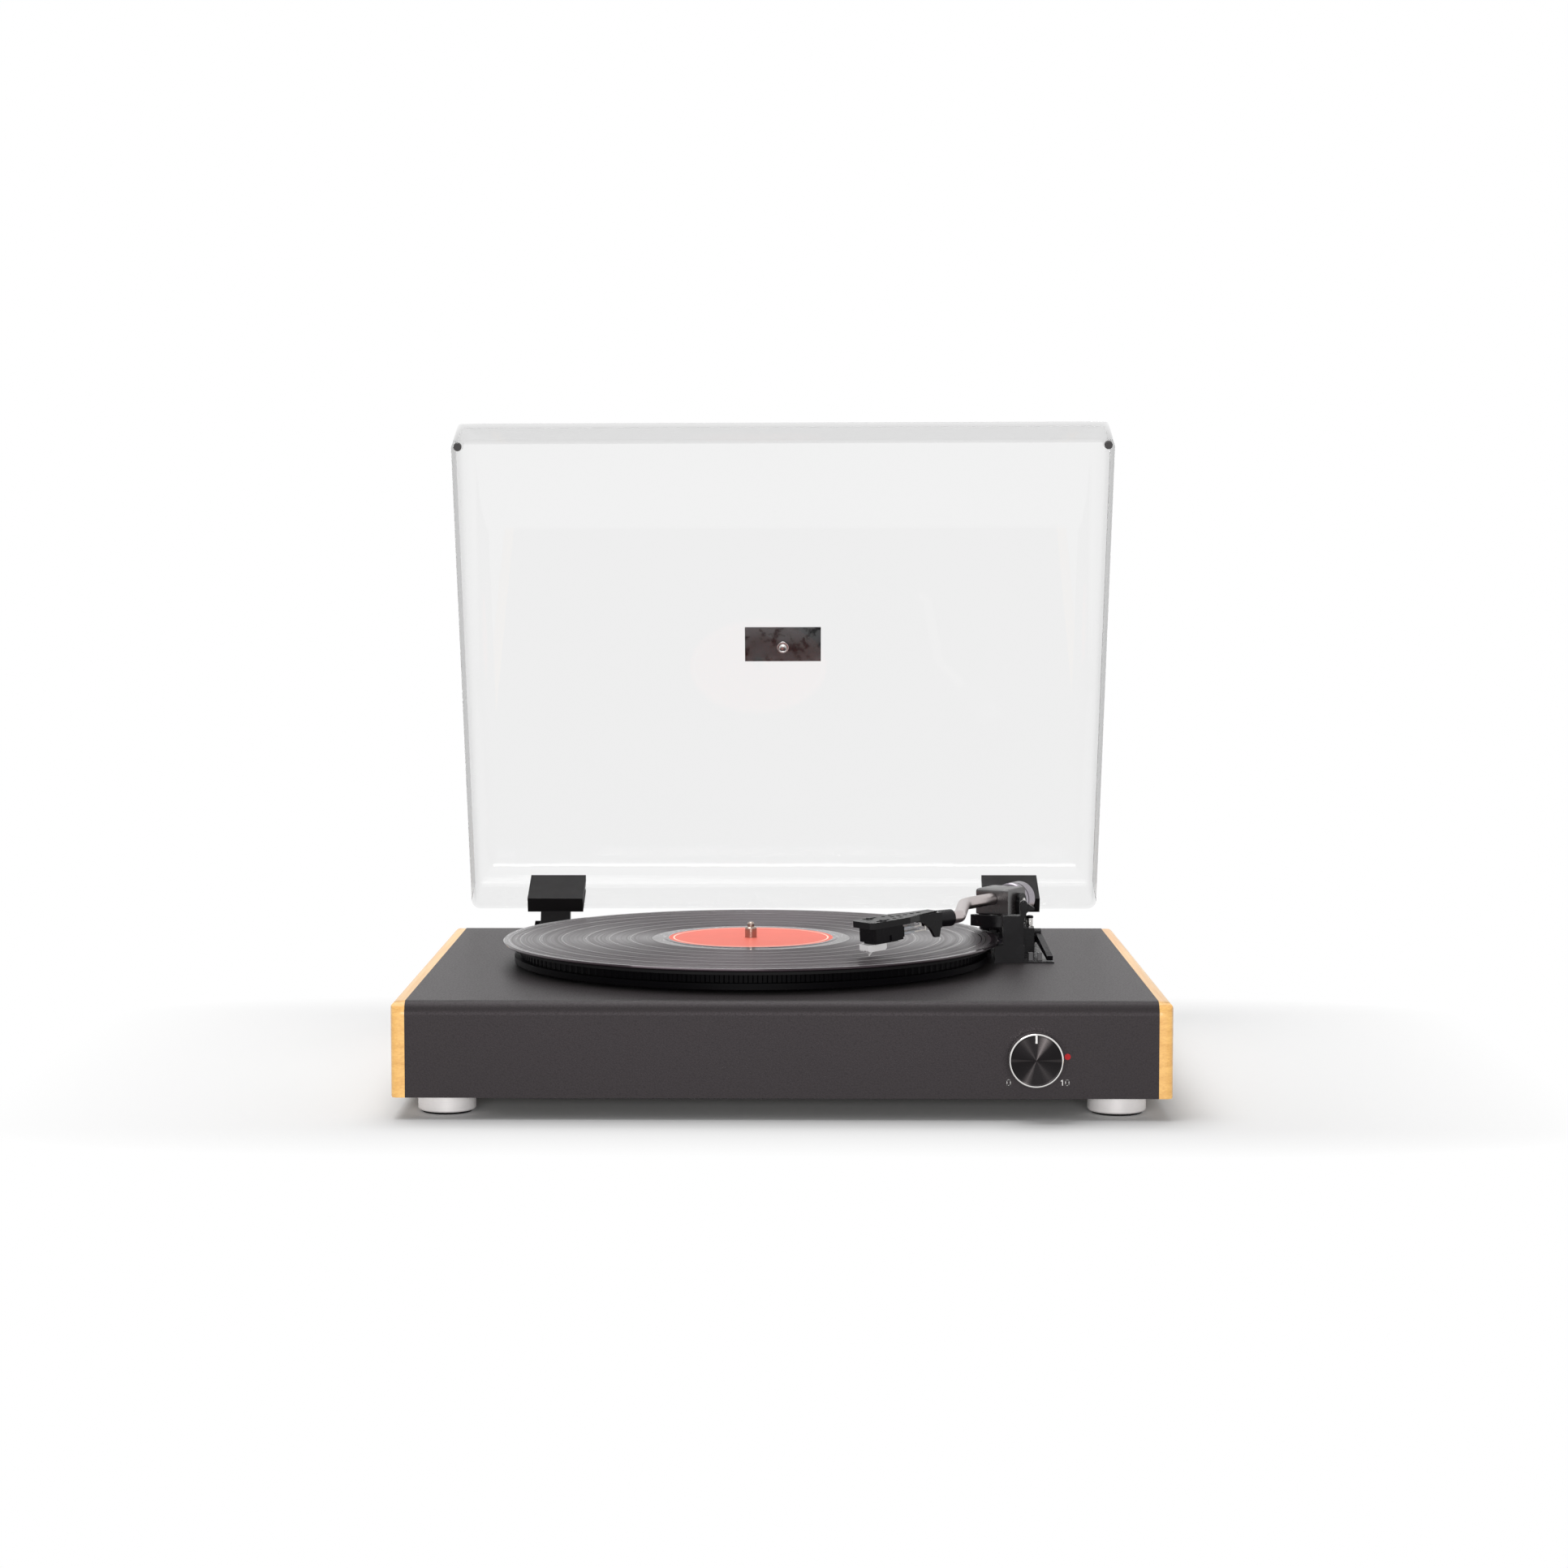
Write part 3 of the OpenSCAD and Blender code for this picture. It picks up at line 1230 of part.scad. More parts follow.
// Two pairs of spring clips for the loudspeaker wires
module speaker_clips() {
    color([0.75, 0.12, 0.12]) for (x = clip_xs) at_port(x) difference() {
        union() {
            translate([-6, -10, -port_h / 2 + 6]) cube([12, 14, port_h - 12]);
            translate([-5, 3.9, 1.5]) cube([10, 3, 5.5]);
        }
        translate([0, 0, -4]) rod_y(1.5, -6, 6);
    }
}

module dc_inlet() {
    color([0.08, 0.08, 0.08]) translate([port_x + dc_at, back_y, port_z + port_h / 2]) difference() {
        union() {
            rod_y(dc_r, -9, 2.6);
            rod_y(dc_r + 1.2, 1.6, 2.8);
        }
        rotate([-90, 0, 0]) translate([0, 0, -6]) ring(2.9, 1, 10);
    }
}

plinth_shell();
left_cheek();
right_cheek();
rear_panel();
bottom_cover();
corner_blocks();
feet();
foot_pads();
foot_screws();
cover_screws();
bearing_bush();
spindle();
platter();
slip_mat();
record();
record_label();
motor();
motor_screws();
motor_grommets();
motor_shaft();
motor_pulley();
drive_belt();
arm_base();
base_nut();
armrest();
arm_clip();
lift_screw();
cue_lever();
lift_platform();
speed_slider();
stop_slider();
arm_yoke();
pivot_screws();
pivot_block();
arm_tube();
headshell();
head_screws();
cartridge();
stylus_unit();
lead_wires();
weight_shaft();
counterweight();
lid();
lid_plate();
lid_bumpers();
hinge_blocks();
hinge_pins();
hinge_brackets();
hinge_screws();
volume_knob();
knob_ring();
knob_marker();
pot_shaft();
volume_pot();
power_led();
main_board();
terminal_plate();
line_jacks();
speaker_clips();
dc_inlet();
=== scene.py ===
"""Belt-drive record player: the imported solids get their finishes, fine pieces, light and camera."""

import bpy
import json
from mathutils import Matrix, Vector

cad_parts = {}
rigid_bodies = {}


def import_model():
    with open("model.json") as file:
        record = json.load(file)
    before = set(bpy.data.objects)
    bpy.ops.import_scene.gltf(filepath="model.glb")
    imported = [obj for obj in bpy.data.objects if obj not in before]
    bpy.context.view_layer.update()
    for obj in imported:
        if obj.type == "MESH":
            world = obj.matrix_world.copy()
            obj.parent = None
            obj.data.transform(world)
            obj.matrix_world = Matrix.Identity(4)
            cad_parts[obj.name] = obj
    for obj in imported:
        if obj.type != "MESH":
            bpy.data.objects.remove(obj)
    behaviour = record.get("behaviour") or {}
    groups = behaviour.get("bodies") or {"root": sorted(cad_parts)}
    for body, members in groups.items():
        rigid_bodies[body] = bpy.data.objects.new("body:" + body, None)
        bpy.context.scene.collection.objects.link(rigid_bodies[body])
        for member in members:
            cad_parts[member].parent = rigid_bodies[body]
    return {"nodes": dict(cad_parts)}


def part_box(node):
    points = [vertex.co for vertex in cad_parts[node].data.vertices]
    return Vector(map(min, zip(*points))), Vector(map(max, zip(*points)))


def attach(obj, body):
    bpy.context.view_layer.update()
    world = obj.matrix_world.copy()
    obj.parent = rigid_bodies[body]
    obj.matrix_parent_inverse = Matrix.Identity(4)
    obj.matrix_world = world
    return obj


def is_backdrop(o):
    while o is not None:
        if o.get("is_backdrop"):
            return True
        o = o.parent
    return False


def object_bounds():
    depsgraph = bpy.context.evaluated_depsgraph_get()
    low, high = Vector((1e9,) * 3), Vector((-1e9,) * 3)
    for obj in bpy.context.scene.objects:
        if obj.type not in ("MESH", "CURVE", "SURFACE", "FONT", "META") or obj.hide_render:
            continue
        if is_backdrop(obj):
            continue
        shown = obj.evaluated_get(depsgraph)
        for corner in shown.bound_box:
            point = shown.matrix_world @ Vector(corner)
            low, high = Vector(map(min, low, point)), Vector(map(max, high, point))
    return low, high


for _spare in list(bpy.data.objects):
    bpy.data.objects.remove(_spare)
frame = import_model()

import json
import logging
import math
from dataclasses import dataclass, field
from enum import Enum
from functools import cached_property
from typing import Callable, Iterable, Sequence, Union

import bmesh
from mathutils import Matrix, Vector

LOG = logging.getLogger("record_player")
Socket = bpy.types.NodeSocket
Value = Union[float, Sequence[float], Socket]
Point = tuple[float, float, float]
Span = tuple[float, float]

MM = 0.001
# Vertices closer than this, in metres, are one vertex
WELD_REACH = 1e-6
SEAM_REACH = 1e-7
WHITE = (1.0, 1.0, 1.0, 1.0)
# Quarter turn that lays the shine of a ringed surface across its rings
ACROSS_RINGS = 0.25
# Masks that leave a distance from an upright axis, and from one that points to the front
ROUND_Z = (1, 1, 0)
ROUND_Y = (1, 0, 1)
# Direction across the headshell, which the four leads are told apart by
HEAD_ACROSS = (0.8704, -0.4924, 0.0)


def mm(*values: float) -> Vector:
    """Turn millimetres into a point in metres."""
    return Vector(v * MM for v in values)


def box_mm(node: str) -> tuple[Vector, Vector]:
    """Lowest and highest corner of a CAD node, in millimetres."""
    low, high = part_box(node)
    return low / MM, high / MM


def middle(node: str) -> Vector:
    """Middle of a CAD node's box, in millimetres."""
    low, high = box_mm(node)
    return (low + high) / 2


@dataclass(frozen=True)
class Tone:
    """A colour as the eye reads it, each channel from 0 to 255."""

    red: float
    green: float
    blue: float

    def linear(self, gain: float = 1.0) -> tuple[float, float, float, float]:
        """Give the colour as the shader wants it.

        Args:
            gain: factor on all three channels.

        Returns:
            Red, green, blue and alpha in linear light.
        """
        out = []
        for channel in (self.red, self.green, self.blue):
            c = channel / 255
            c = c / 12.92 if c <= 0.04045 else ((c + 0.055) / 1.055) ** 2.4
            out.append(min(c * gain, 1.0))
        return out[0], out[1], out[2], 1.0

    def halfway(self, other: "Tone") -> "Tone":
        """Give the tone half way to another."""
        return Tone((self.red + other.red) / 2, (self.green + other.green) / 2, (self.blue + other.blue) / 2)


class Graph:
    """Node tree of a material or of the world, with short ways to add the nodes that are used here."""

    def __init__(self, owner: Union[bpy.types.Material, bpy.types.World]) -> None:
        """Start an empty tree.

        Args:
            owner: the material or world that the tree belongs to.
        """
        owner.use_nodes = True
        self.owner = owner
        self.tree = owner.node_tree
        self.tree.nodes.clear()

    def add(self, kind: str, inputs: dict[Union[str, int], Value] | None = None,
            **settings: object) -> bpy.types.Node:
        """Add a node.

        Args:
            kind: the node's type.
            inputs: a value or a link for each named or numbered socket.
            **settings: properties of the node itself.

        Returns:
            The new node.
        """
        node = self.tree.nodes.new(kind)
        for key, value in settings.items():
            setattr(node, key, value)
        for key, value in (inputs or {}).items():
            if isinstance(value, bpy.types.NodeSocket):
                self.tree.links.new(value, node.inputs[key])
            else:
                node.inputs[key].default_value = value
        return node

    @cached_property
    def place(self) -> Socket:
        """Place on the part, in metres."""
        return self.add("ShaderNodeTexCoord").outputs["Object"]

    def maths(self, operation: str, *values: Value) -> Socket:
        """Work on one to three numbers with a Math node."""
        return self.add("ShaderNodeMath", dict(enumerate(values)), operation=operation).outputs[0]

    def vector(self, operation: str, *values: Value) -> Socket:
        """Work on one or two vectors; a length or a dot product comes back as a number."""
        node = self.add("ShaderNodeVectorMath", dict(enumerate(values)), operation=operation)
        return node.outputs["Value" if operation in ("LENGTH", "DOT_PRODUCT") else "Vector"]

    def stretched(self, scales: Sequence[float]) -> Socket:
        """Give the place on the part with each axis scaled by its own factor."""
        return self.vector("MULTIPLY", self.place, tuple(scales))

    def around(self, centre: Sequence[float], mask: Sequence[float]) -> Socket:
        """Give the distance from an axis.

        Args:
            centre: a point of the axis, in metres.
            mask: 1 for each coordinate that counts and 0 along the axis.

        Returns:
            The distance in metres.
        """
        off = self.vector("SUBTRACT", self.place, tuple(centre))
        return self.vector("LENGTH", self.vector("MULTIPLY", off, tuple(mask)))

    def line(self, value: Socket) -> Socket:
        """Turn a number into places along one line of a texture."""
        return self.add("ShaderNodeCombineXYZ", {"X": value}).outputs[0]

    def noise(self, scale: float, detail: float = 4.0, rough: float = 0.5, vector: Socket | None = None) -> Socket:
        """Add a cloud texture and give its value."""
        inputs = {"Vector": vector or self.place, "Scale": scale, "Detail": detail, "Roughness": rough}
        return self.add("ShaderNodeTexNoise", inputs).outputs["Fac"]

    def ramp(self, value: Socket, stops: Iterable[tuple[float, Tone, float]], blend: str = "LINEAR") -> Socket:
        """Turn a value into a colour.

        Args:
            value: the number that picks the colour.
            stops: place, tone and gain of each colour.
            blend: how the colours pass into each other.

        Returns:
            The colour.
        """
        node = self.add("ShaderNodeValToRGB", {"Fac": value})
        node.color_ramp.interpolation = blend
        elements = node.color_ramp.elements
        wanted = list(stops)
        while len(elements) < len(wanted):
            elements.new(0.5)
        for element, (place, tone, gain) in zip(elements, wanted):
            element.position, element.color = place, tone.linear(gain)
        return node.outputs["Color"]

    def steps(self, value: Socket, low: float, high: float, to_low: float, to_high: float) -> Socket:
        """Map a range of values onto another, held at both ends."""
        inputs = {"Value": value, "From Min": low, "From Max": high, "To Min": to_low, "To Max": to_high}
        return self.add("ShaderNodeMapRange", inputs).outputs["Result"]

    def mix(self, share: Value, a: Value, b: Value) -> Socket:
        """Mix two colours."""
        return self.add("ShaderNodeMix", {0: share, 6: a, 7: b}, data_type="RGBA").outputs[2]

    def bump(self, height: Socket, depth: float, strength: float = 1.0, under: Socket | None = None) -> Socket:
        """Turn a height from 0 to 1 into a normal.

        Args:
            height: the height texture.
            depth: what a height of 1 stands for, in metres.
            strength: share of the effect.
            under: a coarser normal that this one is laid on.

        Returns:
            The bumped normal.
        """
        inputs: dict[Union[str, int], Value] = {"Height": height, "Distance": depth, "Strength": strength}
        if under is not None:
            inputs["Normal"] = under
        return self.add("ShaderNodeBump", inputs).outputs["Normal"]

    def drawn(self, axis: str, pull: float) -> dict[str, Value]:
        """Give the shader's sockets for a shine that lies across the rings round an axis.

        Args:
            axis: X, Y or Z.
            pull: how far the shine is drawn out, from 0 to 1.

        Returns:
            The sockets by name.
        """
        tangent = self.add("ShaderNodeTangent", direction_type="RADIAL", axis=axis).outputs[0]
        return {"Anisotropic": pull, "Anisotropic Rotation": ACROSS_RINGS, "Tangent": tangent}

    def seen(self) -> Socket:
        """Give 1 for what the eye sees directly, mirrored or through glass, and 0 for stray light."""
        path = self.add("ShaderNodeLightPath").outputs
        mirrored = self.maths("MAXIMUM", path["Is Camera Ray"], path["Is Glossy Ray"])
        return self.maths("MAXIMUM", mirrored, path["Is Transmission Ray"])

    def surface(self, inputs: dict[str, Value], volume: Socket | None = None) -> bpy.types.Material:
        """Close a material's tree with a Principled shader.

        Args:
            inputs: the shader's sockets.
            volume: what fills the inside, if light passes through it.

        Returns:
            The finished material.
        """
        shader = self.add("ShaderNodeBsdfPrincipled", dict(inputs))
        ends: dict[Union[str, int], Value] = {"Surface": shader.outputs["BSDF"]}
        if volume is not None:
            ends["Volume"] = volume
        self.add("ShaderNodeOutputMaterial", ends)
        return self.owner


@dataclass(frozen=True)
class Finish:
    """What every finish has: the record's slot that it belongs to, its colour, and a name where slots share it."""

    slot: str
    tone: Tone
    look: str = field(default="", kw_only=True)

    def build(self) -> bpy.types.Material:
        """Make the material; each kind of finish does this its own way."""
        raise NotImplementedError

    def label_of(self) -> str:
        """Give the material's name."""
        return f"finish_{self.look or self.slot}"

    def material(self) -> bpy.types.Material:
        """Give the material, made once and shared by its pieces."""
        return bpy.data.materials.get(self.label_of()) or self.build()

    def graph(self) -> Graph:
        """Start this finish's tree."""
        return Graph(bpy.data.materials.new(self.label_of()))


@dataclass(frozen=True)
class Moulded(Finish):
    """Moulded plastic, rubber, enamel or lacquer with a fine even grain."""

    rough: float = 0.45
    grain: float = 4200.0
    depth: float = 0.00001
    shine: float = 0.5
    cloud: float = 90.0
    scatter: float = 0.12
    wear: Span = (-0.04, 0.05)

    def build(self) -> bpy.types.Material:
        """Mottle the colour and the gloss a little over a fine grain."""
        g = self.graph()
        cloud = g.noise(self.cloud, 3.0)
        grain = g.noise(self.grain, 2.0)
        colour = g.mix(cloud, self.tone.linear(1 - self.scatter), self.tone.linear(1 + self.scatter))
        rough = g.steps(cloud, 0.25, 0.75, self.rough + self.wear[0], self.rough + self.wear[1])
        return g.surface({"Base Color": colour, "Roughness": rough, "Specular IOR Level": self.shine,
                          "Normal": g.bump(grain, self.depth)})


@dataclass(frozen=True)
class Leatherette(Finish):
    """Black embossed wrap with a pebble of about a millimetre."""

    rough: float = 0.40
    wear: Span = (0.10, -0.03)
    shine: float = 0.2
    tint: Point = (1.0, 0.88, 0.94)
    pebbles: float = 1250.0
    pebble_depth: float = 0.00004
    pores: float = 3600.0
    pore_depth: float = 0.00002
    bend: float = 0.0007

    def build(self) -> bpy.types.Material:
        """Lay pores on soft pebbles and dull the hollows."""
        g = self.graph()
        warp = g.maths("MULTIPLY", g.noise(500.0, 2.0), self.bend)
        cells = g.add("ShaderNodeTexVoronoi", {"Vector": g.vector("ADD", g.place, warp), "Scale": self.pebbles},
                      feature="SMOOTH_F1").outputs["Distance"]
        pebble = g.steps(cells, 0.1, 0.75, 1.0, 0.0)
        pores = g.noise(self.pores, 2.0)
        cloud = g.noise(24.0, 3.0)
        base = g.mix(pebble, self.tone.linear(0.80), self.tone.linear(1.14))
        colour = g.mix(g.steps(cloud, 0.3, 0.7, 0.0, 0.2), base, self.tone.linear(0.86))
        rough = g.steps(pebble, 0.0, 1.0, self.rough + self.wear[0], self.rough + self.wear[1])
        normal = g.bump(pores, self.pore_depth, 0.35, g.bump(pebble, self.pebble_depth, 0.5))
        return g.surface({"Base Color": colour, "Roughness": rough, "Specular IOR Level": self.shine,
                          "Specular Tint": (*self.tint, 1.0), "Normal": normal})


@dataclass(frozen=True)
class Veneer(Finish):
    """Honey-coloured wood with long fine grain from front to back."""

    dark: Tone
    rough: float = 0.36
    wear: Span = (0.06, -0.04)
    shine: float = 0.35
    coat: float = 0.35
    coat_rough: float = 0.12
    stray: Tone = Tone(196, 188, 180)
    tamed: float = 0.8
    bands: Point = (70, 5, 230)
    lines: Point = (520, 9, 1500)
    pores: Point = (1500, 40, 2600)
    depth: float = 0.00002

    def build(self) -> bpy.types.Material:
        """Lay broad bands, fine lines and pores along the depth of the part, and tame the light it throws about."""
        g = self.graph()
        bands = g.noise(1.0, 3.0, 0.55, g.stretched(self.bands))
        lines = g.noise(1.0, 4.0, 0.7, g.stretched(self.lines))
        pores = g.noise(1.0, 2.0, 0.6, g.stretched(self.pores))
        blend = g.maths("ADD", g.maths("MULTIPLY", bands, 0.55), g.maths("MULTIPLY", lines, 0.45))
        wood = g.ramp(blend, [(0.36, self.dark, 1.0), (0.47, self.tone.halfway(self.dark), 1.0),
                              (0.58, self.tone, 1.0)])
        colour = g.mix(g.steps(pores, 0.62, 0.72, 0.0, 0.35), wood, self.dark.linear(0.8))
        rough = g.steps(lines, 0.3, 0.7, self.rough + self.wear[0], self.rough + self.wear[1])
        stray = g.add("ShaderNodeLightPath").outputs["Is Diffuse Ray"]
        colour = g.mix(g.steps(stray, 0.0, 1.0, 0.0, self.tamed), colour, self.stray.linear())
        return g.surface({"Base Color": colour, "Roughness": rough, "Specular IOR Level": self.shine,
                          "Coat Weight": self.coat, "Coat Roughness": self.coat_rough,
                          "Normal": g.bump(lines, self.depth, 0.5)})


class Brush(Enum):
    """How a metal was worked."""

    BLASTED = "blasted"
    TURNED = "turned on an upright axis"


@dataclass(frozen=True)
class Metal(Finish):
    """Bare or plated metal with the marks of how it was worked."""

    rough: float = 0.3
    brush: Brush = Brush.BLASTED
    metallic: float = 1.0
    mark: float = 0.00002
    blast: float = 2600.0
    rings: Point = (60, 60, 5200)

    def build(self) -> bpy.types.Material:
        """Vary the gloss with the working marks."""
        g = self.graph()
        if self.brush is Brush.TURNED:
            marks = g.noise(1.0, 2.0, 0.6, g.stretched(self.rings))
        else:
            marks = g.noise(self.blast, 2.0)
        cloud = g.noise(60.0, 3.0)
        colour = g.mix(g.steps(cloud, 0.3, 0.7, 0.0, 1.0), self.tone.linear(0.93), self.tone.linear())
        rough = g.steps(marks, 0.25, 0.75, self.rough * 0.8, self.rough * 1.2)
        return g.surface({"Base Color": colour, "Metallic": self.metallic, "Roughness": rough,
                          "Normal": g.bump(marks, self.mark)})


@dataclass(frozen=True)
class Spun(Finish):
    """Black face turned on a lathe with fine rings, and with wedge-shaped highlights from the middle painted into
    its colour.

    Each painted highlight wedge has its clock angle and half width in degrees, and its strength.
    """

    centre: Point
    # Painted highlights: clock angle, half width in degrees and strength of each wedge.
    highlight_wedges: tuple[Point, ...] = ((24.0, 22.0, 0.8), (205.0, 15.0, 0.32), (90.0, 6.0, 0.16),
                                 (270.0, 6.0, 0.16), (328.0, 16.0, 0.12), (145.0, 18.0, 0.10))
    highlight_tone: Tone = Tone(108, 102, 102)
    fade: float = 1.4
    rings: float = 3600.0
    ring_depth: float = 0.00001
    rough: Span = (0.24, 0.36)
    metallic: float = 0.8
    shine: float = 0.2
    pull: float = 0.7

    def build(self) -> bpy.types.Material:
        """Paint wedge-shaped highlights into the face's colour over its rings."""
        g = self.graph()
        off = g.vector("SUBTRACT", g.place, self.centre)
        light: Value = 0.0
        for angle, half, strength in self.highlight_wedges:
            east, north = math.sin(math.radians(angle)), math.cos(math.radians(angle))
            along = g.vector("DOT_PRODUCT", off, (east, 0.0, north))
            aside = g.vector("DOT_PRODUCT", off, (north, 0.0, -east))
            turn = g.maths("ABSOLUTE", g.maths("ARCTAN2", aside, along))
            lobe = g.maths("POWER", g.steps(turn, 0.0, math.radians(half), 1.0, 0.0), self.fade)
            light = g.maths("MAXIMUM", light, g.maths("MULTIPLY", lobe, strength))
        reach = g.maths("MULTIPLY", g.around(self.centre, ROUND_Y), self.rings)
        rings = g.noise(1.0, 2.0, 0.6, g.line(reach))
        # Inside each wedge the base colour is lifted towards the highlight tone: painted highlights.
        return g.surface({"Base Color": g.mix(light, self.tone.linear(), self.highlight_tone.linear()),
                          "Metallic": self.metallic, "Roughness": g.steps(rings, 0.3, 0.7, *self.rough),
                          "Specular IOR Level": self.shine, "Normal": g.bump(rings, self.ring_depth),
                          **g.drawn("Y", self.pull)})


@dataclass(frozen=True)
class Vinyl(Finish):
    """Pressed record: grooves in bands round the spindle, with smooth gaps between the tracks."""

    centre: Point
    label: float
    edge: float
    gaps: tuple[float, ...] = (0.0735, 0.0862, 0.1004, 0.1152, 0.1287, 0.1404)
    gap_half: float = 0.00042
    run_out: Span = (0.0095, 0.0105)
    run_in: Span = (0.0050, 0.0042)
    smooth: float = 0.10
    rough: Span = (0.24, 0.46)
    shine: float = 0.5
    tint: Point = (1.0, 0.8, 0.9)
    pull: float = 0.92
    depth: float = 0.00003

    def build(self) -> bpy.types.Material:
        """Cut fine rings into the surface and keep the gaps, the rim and the land smooth."""
        g = self.graph()
        reach = g.around(self.centre, ROUND_Z)
        line = g.line(reach)
        fine = g.noise(2400.0, 2.0, 0.7, line)
        groove = g.noise(780.0, 2.0, 0.6, line)
        loud = g.noise(190.0, 4.0, 0.75, line)
        inside = g.steps(reach, self.label + self.run_out[0], self.label + self.run_out[1], 0.0, 1.0)
        outside = g.steps(reach, self.edge - self.run_in[0], self.edge - self.run_in[1], 1.0, 0.0)
        cut = g.maths("MULTIPLY", inside, outside)
        for gap in self.gaps:
            near = g.maths("COMPARE", reach, gap, self.gap_half)
            cut = g.maths("MULTIPLY", cut, g.maths("SUBTRACT", 1.0, near))
        height = g.maths("MULTIPLY", g.maths("ADD", fine, g.maths("MULTIPLY", loud, 1.4)), cut)
        # Painted groove sheen: the colour is lighter and darker in bands over the grooves.
        mixed = g.maths("ADD", g.maths("MULTIPLY", loud, 0.55), g.maths("MULTIPLY", groove, 0.45))
        colour = g.mix(g.steps(mixed, 0.40, 0.60, 0.0, 1.0), self.tone.linear(0.5), self.tone.linear(1.7))
        grooved = g.steps(mixed, 0.38, 0.62, *self.rough)
        rougher = g.maths("MULTIPLY", cut, g.maths("SUBTRACT", grooved, self.smooth))
        return g.surface({"Base Color": colour, "Roughness": g.maths("ADD", self.smooth, rougher),
                          "Specular IOR Level": self.shine, "Specular Tint": (*self.tint, 1.0),
                          "Normal": g.bump(height, self.depth, 0.6), **g.drawn("Z", self.pull)})


@dataclass(frozen=True)
class Paper(Finish):
    """Printed paper disc with one thin pale ring inside its edge."""

    centre: Point
    ring: Span
    ring_tone: Tone = Tone(255, 214, 196)
    rough: float = 0.5
    shine: float = 0.4
    fibre_depth: float = 0.00003

    def build(self) -> bpy.types.Material:
        """Print the ring and roughen the paper with its fibres."""
        g = self.graph()
        reach = g.around(self.centre, ROUND_Z)
        ring = g.maths("MULTIPLY", g.maths("GREATER_THAN", reach, self.ring[0]),
                       g.maths("LESS_THAN", reach, self.ring[1]))
        fibre = g.noise(1500.0, 4.0, 0.7)
        cloud = g.noise(70.0, 3.0)
        ground = g.mix(cloud, self.tone.linear(0.95), self.tone.linear(1.04))
        return g.surface({"Base Color": g.mix(ring, ground, self.ring_tone.linear()), "Roughness": self.rough,
                          "Specular IOR Level": self.shine, "Normal": g.bump(fibre, self.fibre_depth)})


@dataclass(frozen=True)
class Acrylic(Finish):
    """Clear dust cover, faintly grey; its shadow is nearly as light as the air around it."""

    veil: float = 0.1
    smoke: float = 13.0
    smoke_grey: float = 0.12
    through: float = 1.01
    coat: float = 0.36
    coat_bend: float = 1.49

    def build(self) -> bpy.types.Material:
        """Let the light pass almost straight through, greyed on its way, under a polished face that mirrors."""
        g = self.graph()
        colour = g.mix(g.noise(6.0, 2.0), self.tone.linear(0.99), self.tone.linear())
        shade = g.add("ShaderNodeLightPath").outputs["Is Shadow Ray"]
        grey = (self.smoke_grey, self.smoke_grey, self.smoke_grey, 1.0)
        depth = g.add("ShaderNodeVolumeAbsorption", {"Color": grey, "Density": self.smoke})
        return g.surface({"Base Color": colour, "Roughness": 0.0, "IOR": self.through, "Transmission Weight": 1.0,
                          "Coat Weight": self.coat, "Coat Roughness": 0.0, "Coat IOR": self.coat_bend,
                          "Alpha": g.steps(shade, 0.0, 1.0, 1.0, self.veil)}, depth.outputs["Volume"])


@dataclass(frozen=True)
class Foil(Finish):
    """Dull printed foil; the darker spots on it are painted reflections."""

    painted_reflection_tone: Tone = Tone(34, 34, 35)
    rough: float = 0.6
    shine: float = 0.2
    depth: float = 0.00001

    def build(self) -> bpy.types.Material:
        """Spread soft dark spots, which are painted reflections, over the ground colour."""
        g = self.graph()
        spots = g.noise(130.0, 3.0, 0.6)
        grain = g.noise(2200.0, 2.0)
        # Painted reflections: the ground colour darkens in soft spots.
        colour = g.ramp(spots, [(0.36, self.painted_reflection_tone, 1.0), (0.46, self.tone, 1.0), (0.7, self.tone, 1.15)])
        return g.surface({"Base Color": colour, "Roughness": self.rough, "Specular IOR Level": self.shine,
                          "Normal": g.bump(grain, self.depth)})


@dataclass(frozen=True)
class Lamp(Finish):
    """Small lit lens."""

    glow: float = 0.25
    rough: float = 0.18
    shine: float = 0.3

    def build(self) -> bpy.types.Material:
        """Light the lens from inside, a little unevenly."""
        g = self.graph()
        colour = g.mix(g.noise(900.0, 2.0), self.tone.linear(0.8), self.tone.linear())
        return g.surface({"Base Color": colour, "Roughness": self.rough, "Specular IOR Level": self.shine,
                          "Emission Color": colour, "Emission Strength": self.glow})


@dataclass(frozen=True)
class Laminate(Finish):
    """Fibreboard or circuit board, speckled."""

    fleck: Tone
    scale: float = 420.0
    rough: float = 0.7
    shine: float = 0.3
    depth: float = 0.00008

    def build(self) -> bpy.types.Material:
        """Scatter flecks over the ground colour."""
        g = self.graph()
        flecks = g.noise(self.scale, 5.0, 0.8)
        colour = g.ramp(flecks, [(0.38, self.fleck, 1.0), (0.62, self.tone, 1.0)])
        return g.surface({"Base Color": colour, "Roughness": self.rough, "Specular IOR Level": self.shine,
                          "Normal": g.bump(flecks, self.depth)})


